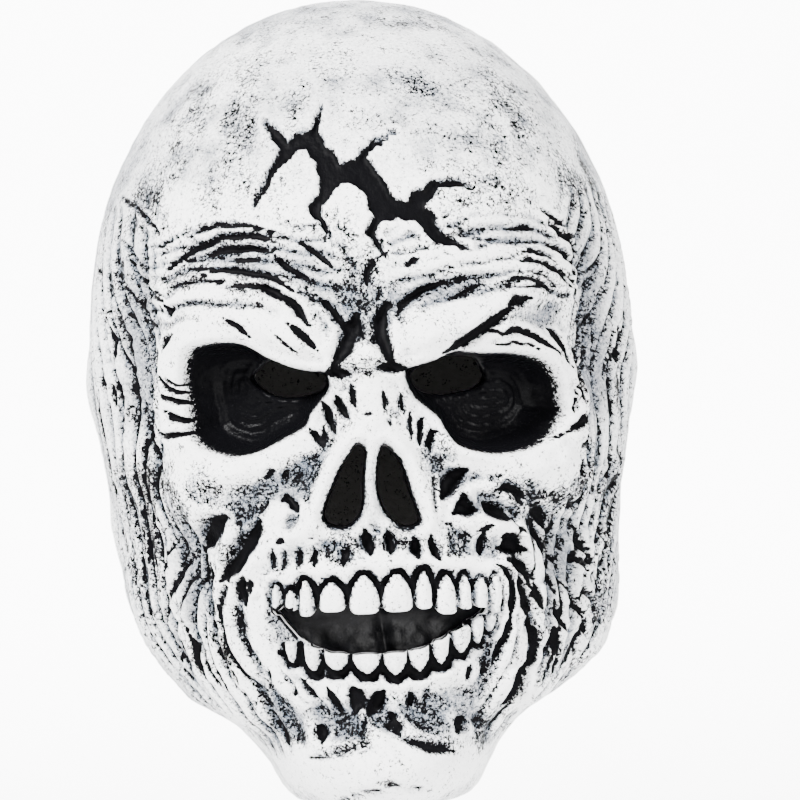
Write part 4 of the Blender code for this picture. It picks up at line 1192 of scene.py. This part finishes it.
def buildCasting():
    # Outer wall at full detail, a plain inner wall, and the cut edges between them
    azimuths, chart, station, faces, outerLoops = cutGrid(outerGrid)
    azimuth = chart[:, 0] / chartRadius
    base = skin(azimuth, station)
    normal = outward(azimuth, station)
    form = forms(chart)
    carved, ink, paint = details(chart, base)
    strandRelief, strandInk = strands(chart, base)
    flowRelief, flowInk = flows(chart, base)
    carved += strandRelief + flowRelief
    ink = np.maximum(ink, np.maximum(flowInk, strandInk))
    carved += 0.40 * latticeNoise(base, 7.0, 3) + 0.16 * latticeNoise(base, 2.6, 4)
    # Past the free depth a cut deepens ever more slowly, and by less than the second value in all
    freeDepth, more = 1.3, 0.9
    deep = freeDepth + more * np.tanh((-carved - freeDepth) / more)
    carved = np.where(carved < -freeDepth, -deep, carved)
    outer = base + (form + carved)[:, None] * normal
    count = len(azimuths)
    # How far each point lies below its neighbours, at three sizes
    wide = hollowness(np.maximum(form, -4), count, 22)
    fine = hollowness(form + carved, count, 3)
    broad = hollowness(form + carved, count, 11)
    dusty = dust(chart, base, ink) + 0.45 * np.clip(fine, -0.3, 0.8) + 0.20 * np.clip(broad, -0.8, 1.6)
    dusty = np.clip(dusty, 0, 1)
    # The grey: airbrushing and painted shade of the sides, plus painted shade in the hollows of the relief,
    # darker the deeper a point lies, partly the grey wash of the recesses
    shade = haze(chart, base) + 0.75 * np.clip(fine, 0, 1) + 0.62 * np.clip(broad, -0.1, 1.8)
    shade = np.clip(shade, 0, latex["mostShade"]) + 0.22 * np.clip(wide, -0.4, 2.0)
    shade = np.clip(shade, 0, latex["mostShade"])
    print("outer wall", len(outer), "points")

    innerAzimuths, innerChart, innerStation, innerFaces, innerLoops = cutGrid(innerGrid)
    innerAzimuth = innerChart[:, 0] / chartRadius
    innerForm = forms(innerChart)
    innerNormal = outward(innerAzimuth, innerStation)
    inner = skin(innerAzimuth, innerStation) + (innerForm - head["innerDepth"])[:, None] * innerNormal
    innerCount = len(innerAzimuths)

    crown = head["browHeight"] + head["domeHeight"]
    points = [outer, np.array([[0, 0, crown]]), inner, np.array([[0, 0, crown - head["innerDepth"]]])]
    top = len(outer)
    innerStart = top + 1
    innerTop = innerStart + len(inner)
    total = innerTop + 1
    polygons = [tuple(int(v) for v in face) for face in faces]
    polygons += [(top, i, (i + 1) % count) for i in range(count)]
    polygons += [tuple(int(v) + innerStart for v in face[::-1]) for face in innerFaces]
    polygons += [(innerTop, innerStart + (i + 1) % innerCount, innerStart + i) for i in range(innerCount)]

    edgePoints, edgeInk, edgePaint = [], [], []
    for name, loop in outerLoops.items():
        depth, close = openings[name]
        inward = chart[loop].mean(0) - chart[loop]
        inward = inward / np.maximum(np.linalg.norm(inward, axis=1, keepdims=True), 1e-9)
        side = np.stack([np.cos(azimuth[loop]), np.sin(azimuth[loop]), np.zeros(len(loop))], -1)
        shift = close * (inward[:, :1] * side + inward[:, 1:] * np.array([0, 0, 1.0]))
        rings = [loop]
        for share in (0.25, 1.0):
            ring = outer[loop] - depth * share * normal[loop] + shift * share
            rings.append(list(range(total, total + len(loop))))
            total += len(loop)
            edgePoints.append(ring)
            edgeInk.append(ink[loop])
            edgePaint.append(np.full(len(loop), -1.0 if name == "mouth" and share < 1 else 1.0))
        for upper, lower in zip(rings, rings[1:]):
            for i in range(len(loop)):
                j = (i + 1) % len(loop)
                polygons.append((upper[j], upper[i], lower[i], lower[j]))
        everything = np.vstack(points + edgePoints)
        second = [v + innerStart for v in innerLoops[name]]
        for face in zipped(rings[-1], second, everything):
            polygons.append(face[::-1])
    rimLoop = [len(outer) - count + i for i in range(count)]
    innerRim = [innerStart + len(inner) - innerCount + i for i in range(innerCount)]
    for face in zipped(rimLoop, innerRim, everything):
        polygons.append(face[::-1])

    extra = len(everything) - len(outer)
    edgeInk, edgePaint = np.concatenate(edgeInk), np.concatenate(edgePaint)
    innerSize = extra - len(edgeInk)
    # The grey attribute holds the airbrushing and the painted shade of each point
    values = {
        "ink": np.concatenate([ink, np.full(innerSize, -1.0), edgeInk]),
        "paint": np.concatenate([paint, np.full(innerSize, -1.0), edgePaint]),
        "dust": np.concatenate([dusty, np.full(extra, 0.1)]),
        "haze": np.concatenate([shade, np.full(extra, 0.2)]),
        "inside": np.concatenate([np.zeros(len(outer) + 1), np.ones(innerSize - 1), np.zeros(len(edgeInk))]),
    }
    return newPiece("latex_casting", toFrame(everything), polygons, values)


def newPiece(name, points, polygons, values=None):
    # A mesh of the points that its faces use, with a value for each point under each key
    used = np.unique(np.concatenate([np.asarray(p) for p in polygons]))
    remap = np.full(len(points), -1)
    remap[used] = np.arange(len(used))
    data = bpy.data.meshes.new(name)
    data.from_pydata(points[used].tolist(), [], [[int(remap[v]) for v in p] for p in polygons])
    for key, value in (values or {}).items():
        layer = data.attributes.new(key, "FLOAT", "POINT")
        layer.data.foreach_set("value", np.asarray(value, np.float32)[used])
    data.shade_smooth()
    data.update()
    piece = bpy.data.objects.new(name, data)
    bpy.context.scene.collection.objects.link(piece)
    return piece


# The panel behind the mouth, in mm: its edges on the chart, how far it stands behind the skin and bulges
# back, the height of what is modelled on it, and its thickness
mouthPanel = {
    "halfWidth": 42.0,
    "top": -57.0,
    "bottom": -90.0,
    "columns": 85,
    "rows": 34,
    "setBack": 4.2,
    "bulge": 6.5,
    "lumps": 0.9,
    "cleft": -1.6,
    "swell": 1.8,
    "thickness": 1.2,
}


def buildMouthBack():
    # A curved sheet behind the teeth, with a soft cleft down its middle and low lumps
    side, top, bottom = mouthPanel["halfWidth"], mouthPanel["top"], mouthPanel["bottom"]
    columns = np.linspace(-side, side, mouthPanel["columns"])
    across, up = np.meshgrid(columns, np.linspace(top, bottom, mouthPanel["rows"]))
    chart = np.stack([across.ravel(), up.ravel()], -1)
    azimuth, station = chart[:, 0] / chartRadius, stationOf(chart[:, 1])
    base = skin(azimuth, station)
    upward = np.cos((chart[:, 1] - (top + bottom) / 2) / (top - bottom) * math.pi)
    middle = np.maximum(np.cos(chart[:, 0] / side * math.pi / 2) * upward, 0)
    lumps = mouthPanel["lumps"] * latticeNoise(base, 9.0, 51) + 0.35 * latticeNoise(base, 3.0, 52)
    cleft = mouthPanel["cleft"] * bellAt(chart[:, 0] + 0.1 * (chart[:, 1] + 73), 0.5, 1.6)
    swell = mouthPanel["swell"] * np.exp(-((chart[:, 0] / 17) ** 2) - ((chart[:, 1] + 77) / 6) ** 2)
    depth = -mouthPanel["setBack"] - mouthPanel["bulge"] * middle + (lumps + cleft + swell) * middle
    normal = outward(azimuth, station)
    form = forms(chart)
    front = base + (form + depth)[:, None] * normal
    back = base + (form + depth - mouthPanel["thickness"])[:, None] * normal
    rows, columns = across.shape
    index = np.arange(rows * columns).reshape(rows, columns)
    quads = np.stack([index[:-1, :-1], index[1:, :-1], index[1:, 1:], index[:-1, 1:]], -1)
    quads = quads.reshape(-1, 4).tolist()
    shift = rows * columns
    polygons = [tuple(q) for q in quads] + [tuple(v + shift for v in q[::-1]) for q in quads]
    edge = np.concatenate([index[0], index[1:, -1], index[-1, -2::-1], index[-2:0:-1, 0]]).tolist()
    for a, b in zip(edge, edge[1:] + edge[:1]):
        polygons.append((a, b, b + shift, a + shift))
    return newPiece("mouth_backing", toFrame(np.vstack([front, back])), polygons)


def addNode(tree, kind, values=None, **settings):
    # A node with its settings, and its inputs by name
    node = tree.nodes.new(kind)
    for key, value in settings.items():
        setattr(node, key, value)
    for key, value in (values or {}).items():
        node.inputs[key].default_value = value
    return node


def math2(tree, operation, a, b, clamp=False):
    # A Math node between two sockets or plain values
    node = addNode(tree, "ShaderNodeMath", operation=operation, use_clamp=clamp)
    for socket, value in zip(node.inputs, (a, b)):
        if isinstance(value, bpy.types.NodeSocket):
            tree.links.new(value, socket)
        else:
            socket.default_value = value
    return node.outputs[0]


def mixColours(tree, factor, first, second):
    # The first colour at 0 and the second at 1; sockets 0, 6 and 7 are the factor and the two colours
    node = addNode(tree, "ShaderNodeMix", data_type="RGBA")
    for socket, value in ((node.inputs[0], factor), (node.inputs[6], first), (node.inputs[7], second)):
        if isinstance(value, bpy.types.NodeSocket):
            tree.links.new(value, socket)
        else:
            socket.default_value = value
    return node.outputs[2]


# The wash's grain: three noises' scales and details, how far it wanders at the edge of ink and of paint,
# and for the speckle the strength of fine and coarse grain, the level where it starts, and the contrast
inkGrain = {
    "scales": (900.0, 2100.0, 240.0),
    "details": (3.0, 2.0, 3.0),
    "edge": 1.1,
    "paintEdge": 1.3,
    "fine": 3.2,
    "coarse": 2.2,
    "start": 0.72,
    "contrast": 4.6,
}


def inkGroup():
    # Black where the ink level plus grain passes zero: a ragged edge on grooves, specks where dusty
    group = bpy.data.node_groups.new("inkWash", "ShaderNodeTree")
    for name in ("Ink", "Paint", "Dust"):
        group.interface.new_socket(name, in_out="INPUT", socket_type="NodeSocketFloat")
    for name in ("Mask", "Grain"):
        group.interface.new_socket(name, in_out="OUTPUT", socket_type="NodeSocketFloat")
    inputs = addNode(group, "NodeGroupInput")
    outputs = addNode(group, "NodeGroupOutput")
    where = addNode(group, "ShaderNodeTexCoord")
    grains = []
    for scale, detail in zip(inkGrain["scales"], inkGrain["details"]):
        noise = addNode(group, "ShaderNodeTexNoise", {"Scale": scale, "Detail": detail, "Roughness": 0.6})
        group.links.new(where.outputs["Object"], noise.inputs["Vector"])
        grains.append(math2(group, "SUBTRACT", noise.outputs["Fac"], 0.5))
    grain = math2(group, "ADD", grains[0], math2(group, "MULTIPLY", grains[1], 0.7))
    edge = math2(group, "MULTIPLY", grain, inkGrain["edge"])
    inked = math2(group, "ADD", inputs.outputs["Ink"], edge)
    paintEdge = math2(group, "MULTIPLY", grain, inkGrain["paintEdge"])
    painted = math2(group, "ADD", inputs.outputs["Paint"], paintEdge)
    coarse = math2(group, "MULTIPLY", grains[2], inkGrain["coarse"])
    scatter = math2(group, "ADD", math2(group, "MULTIPLY", grain, inkGrain["fine"]), coarse)
    dusty = math2(group, "ADD", math2(group, "SUBTRACT", inputs.outputs["Dust"], inkGrain["start"]), scatter)
    level = math2(group, "MAXIMUM", math2(group, "MAXIMUM", inked, painted), dusty)
    mask = math2(group, "ADD", math2(group, "MULTIPLY", level, inkGrain["contrast"]), 0.5, clamp=True)
    group.links.new(mask, outputs.inputs["Mask"])
    group.links.new(grain, outputs.inputs["Grain"])
    return group


def latexMaterial(group):
    # White latex, greyed by the airbrushing and painted shade of each point and smudged by its dust, under
    # the black wash
    material = bpy.data.materials.new("white_latex")
    material.use_nodes = True
    tree = material.node_tree
    shader = tree.nodes["Principled BSDF"]
    shader.inputs["Specular IOR Level"].default_value = 0.02
    values = {}
    for name in ("ink", "paint", "dust", "haze", "inside"):
        values[name] = addNode(tree, "ShaderNodeAttribute", attribute_name=name).outputs["Fac"]
    wash = addNode(tree, "ShaderNodeGroup", node_tree=group)
    for name in ("Ink", "Paint", "Dust"):
        tree.links.new(values[name.lower()], wash.inputs[name])
    where = addNode(tree, "ShaderNodeTexCoord")
    cloud = addNode(tree, "ShaderNodeTexNoise", {"Scale": 55.0, "Detail": 4.0, "Roughness": 0.62})
    tree.links.new(where.outputs["Object"], cloud.inputs["Vector"])
    blue = math2(tree, "MULTIPLY", math2(tree, "SUBTRACT", cloud.outputs["Fac"], 0.52), 2.0, clamp=True)
    bluish = math2(tree, "MULTIPLY", blue, values["dust"])
    # Grey amount: the airbrushing and painted shade of each point, with blue-grey clouds where it is dusty
    shadeAmount = math2(tree, "ADD", values["haze"], bluish, clamp=True)
    mottle = math2(tree, "MULTIPLY", wash.outputs["Grain"], latex["mottle"])
    shaded = math2(tree, "ADD", shadeAmount, mottle, clamp=True)
    pale = mixColours(tree, shaded, latex["white"], latex["shade"])
    smudge = math2(tree, "ADD", values["dust"], math2(tree, "MULTIPLY", wash.outputs["Grain"], 1.7))
    smudge = math2(tree, "MULTIPLY", math2(tree, "SUBTRACT", smudge, 0.30), 1.5, clamp=True)
    pale = mixColours(tree, smudge, pale, latex["smudge"])
    # The inner wall takes the near-black painted shade of the unlit inside
    dark = mixColours(tree, values["inside"], pale, latex["darkInsideShade"])
    colour = mixColours(tree, wash.outputs["Mask"], dark, latex["ink"])
    tree.links.new(colour, shader.inputs["Base Color"])
    gloss = math2(tree, "MULTIPLY", math2(tree, "ADD", values["paint"], 0.0, clamp=True), -0.2)
    rough = math2(tree, "ADD", gloss, latex["roughness"])
    tree.links.new(rough, shader.inputs["Roughness"])
    bump = addNode(tree, "ShaderNodeBump", {"Strength": 0.6, "Distance": 0.0007})
    grain = addNode(tree, "ShaderNodeTexNoise", {"Scale": 420.0, "Detail": 4.0, "Roughness": 0.55})
    tree.links.new(where.outputs["Object"], grain.inputs["Vector"])
    sunk = math2(tree, "MULTIPLY", wash.outputs["Mask"], 0.35)
    height = math2(tree, "SUBTRACT", grain.outputs["Fac"], sunk)
    tree.links.new(height, bump.inputs["Height"])
    tree.links.new(bump.outputs["Normal"], shader.inputs["Normal"])
    return material


def blackMaterial():
    # Black latex with a faint lift in cloudy patches
    material = bpy.data.materials.new("black_panel")
    material.use_nodes = True
    tree = material.node_tree
    shader = tree.nodes["Principled BSDF"]
    where = addNode(tree, "ShaderNodeTexCoord")
    noise = addNode(tree, "ShaderNodeTexNoise", {"Scale": 260.0, "Detail": 5.0, "Roughness": 0.6})
    tree.links.new(where.outputs["Object"], noise.inputs["Vector"])
    lift = math2(tree, "MULTIPLY", math2(tree, "SUBTRACT", noise.outputs["Fac"], 0.45), 1.6, clamp=True)
    tree.links.new(mixColours(tree, lift, latex["ink"], latex["inkFloor"]), shader.inputs["Base Color"])
    shader.inputs["Roughness"].default_value = 0.3
    shader.inputs["Specular IOR Level"].default_value = 0.08
    bump = addNode(tree, "ShaderNodeBump", {"Strength": 0.4, "Distance": 0.0006})
    tree.links.new(noise.outputs["Fac"], bump.inputs["Height"])
    tree.links.new(bump.outputs["Normal"], shader.inputs["Normal"])
    return material


view = {"yaw": -2.0, "roll": 2.5, "distance": 1.675, "aside": 0.0128, "height": -0.1355, "lens": 219.5}


def addCamera():
    # Level, from in front and a little to the viewer's left, rolled so that the crown leans left
    yaw, roll = math.radians(view["yaw"]), math.radians(view["roll"])
    back = Vector((math.sin(yaw), -math.cos(yaw), 0))
    right = Vector((math.cos(yaw), math.sin(yaw), 0))
    up = Vector((0, 0, 1))
    tiltedRight = right * math.cos(roll) - up * math.sin(roll)
    tiltedUp = right * math.sin(roll) + up * math.cos(roll)
    data = bpy.data.cameras.new("camera")
    data.lens, data.sensor_width = view["lens"], 36
    camera = bpy.data.objects.new("camera", data)
    turn = Matrix((tiltedRight, tiltedUp, back)).transposed().to_4x4()
    place = right * view["aside"] + back * view["distance"] + up * view["height"]
    camera.matrix_world = Matrix.Translation(place) @ turn
    bpy.context.scene.collection.objects.link(camera)
    bpy.context.scene.camera = camera


# Lights: place and target in metres, size in metres and power in watts
Light = namedtuple("Light", "name at target size power")
lights = [Light(*row) for row in (
    ("keyLeft", (-0.95, -1.10, 1.05), (0.0, 0.0, -0.12), 0.34, 165),
    ("keyRight", (1.35, -0.75, 0.45), (0.0, 0.0, -0.12), 0.4, 44),
    ("fillLow", (0.15, -1.7, -0.30), (0.0, 0.0, -0.15), 0.6, 22),
)]
worldLight = {"colour": (0.95, 0.96, 1.0, 1.0), "strength": 0.22}


def addLights():
    for light in lights:
        data = bpy.data.lights.new(light.name, "AREA")
        data.energy, data.size = light.power, light.size
        lamp = bpy.data.objects.new(light.name, data)
        lamp.location = light.at
        lamp.rotation_euler = (Vector(light.target) - Vector(light.at)).to_track_quat("-Z", "Y").to_euler()
        bpy.context.scene.collection.objects.link(lamp)
    world = bpy.data.worlds.new("studio")
    world.use_nodes = True
    background = world.node_tree.nodes["Background"]
    background.inputs["Color"].default_value = worldLight["colour"]
    background.inputs["Strength"].default_value = worldLight["strength"]
    bpy.context.scene.world = world


# The backdrop in metres: its front edge, the height of its floor, the radius of its bend and where the
# bend starts, its top, half its width, and how brightly its wall glows
backdrop = {"front": -3.0, "floor": -0.62, "bend": 1.2, "bendStart": 1.6, "top": 4.0, "half": 4.0, "glow": 9}


def addBackdrop():
    # A pale floor that curves up behind into a bright wall
    bend, bendStart = backdrop["bend"], backdrop["bendStart"]
    turn = np.linspace(0, math.pi / 2, 16)
    profile = [(backdrop["front"], backdrop["floor"])]
    centre = backdrop["floor"] + bend
    profile += [(bendStart + bend * math.sin(a), centre - bend * math.cos(a)) for a in turn]
    profile += [(bendStart + bend, backdrop["top"])]
    points = np.array([(x, y, z) for y, z in profile for x in (-backdrop["half"], backdrop["half"])])
    polygons = [(2 * i, 2 * i + 1, 2 * i + 3, 2 * i + 2) for i in range(len(profile) - 1)]
    glow = np.repeat(smoothStep(1.7, 2.5, np.array([y for y, z in profile])), 2)
    floor = newPiece("backdrop", points, polygons, {"glow": glow * backdrop["glow"]})
    material = bpy.data.materials.new("backdrop")
    material.use_nodes = True
    tree = material.node_tree
    shader = tree.nodes["Principled BSDF"]
    shader.inputs["Base Color"].default_value = (0.9, 0.9, 0.9, 1.0)
    shader.inputs["Roughness"].default_value = 0.9
    shader.inputs["Emission Color"].default_value = (1.0, 1.0, 1.0, 1.0)
    bright = addNode(tree, "ShaderNodeAttribute", attribute_name="glow").outputs["Fac"]
    tree.links.new(bright, shader.inputs["Emission Strength"])
    floor.data.materials.append(material)


addCamera()
casting = buildCasting()
casting.data.materials.append(latexMaterial(inkGroup()))
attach(casting, "root")
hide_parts("mask_shell")
casting.data.calc_loop_triangles()
print("casting", len(casting.data.loop_triangles), "triangles")

mouthBack = buildMouthBack()
mouthBack.data.materials.append(blackMaterial())
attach(mouthBack, "root")
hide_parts("mouth_panel")
print("mouth backing", len(mouthBack.data.polygons), "faces")

addLights()
addBackdrop()
print("camera,", len(lights), "lights and backdrop in place")
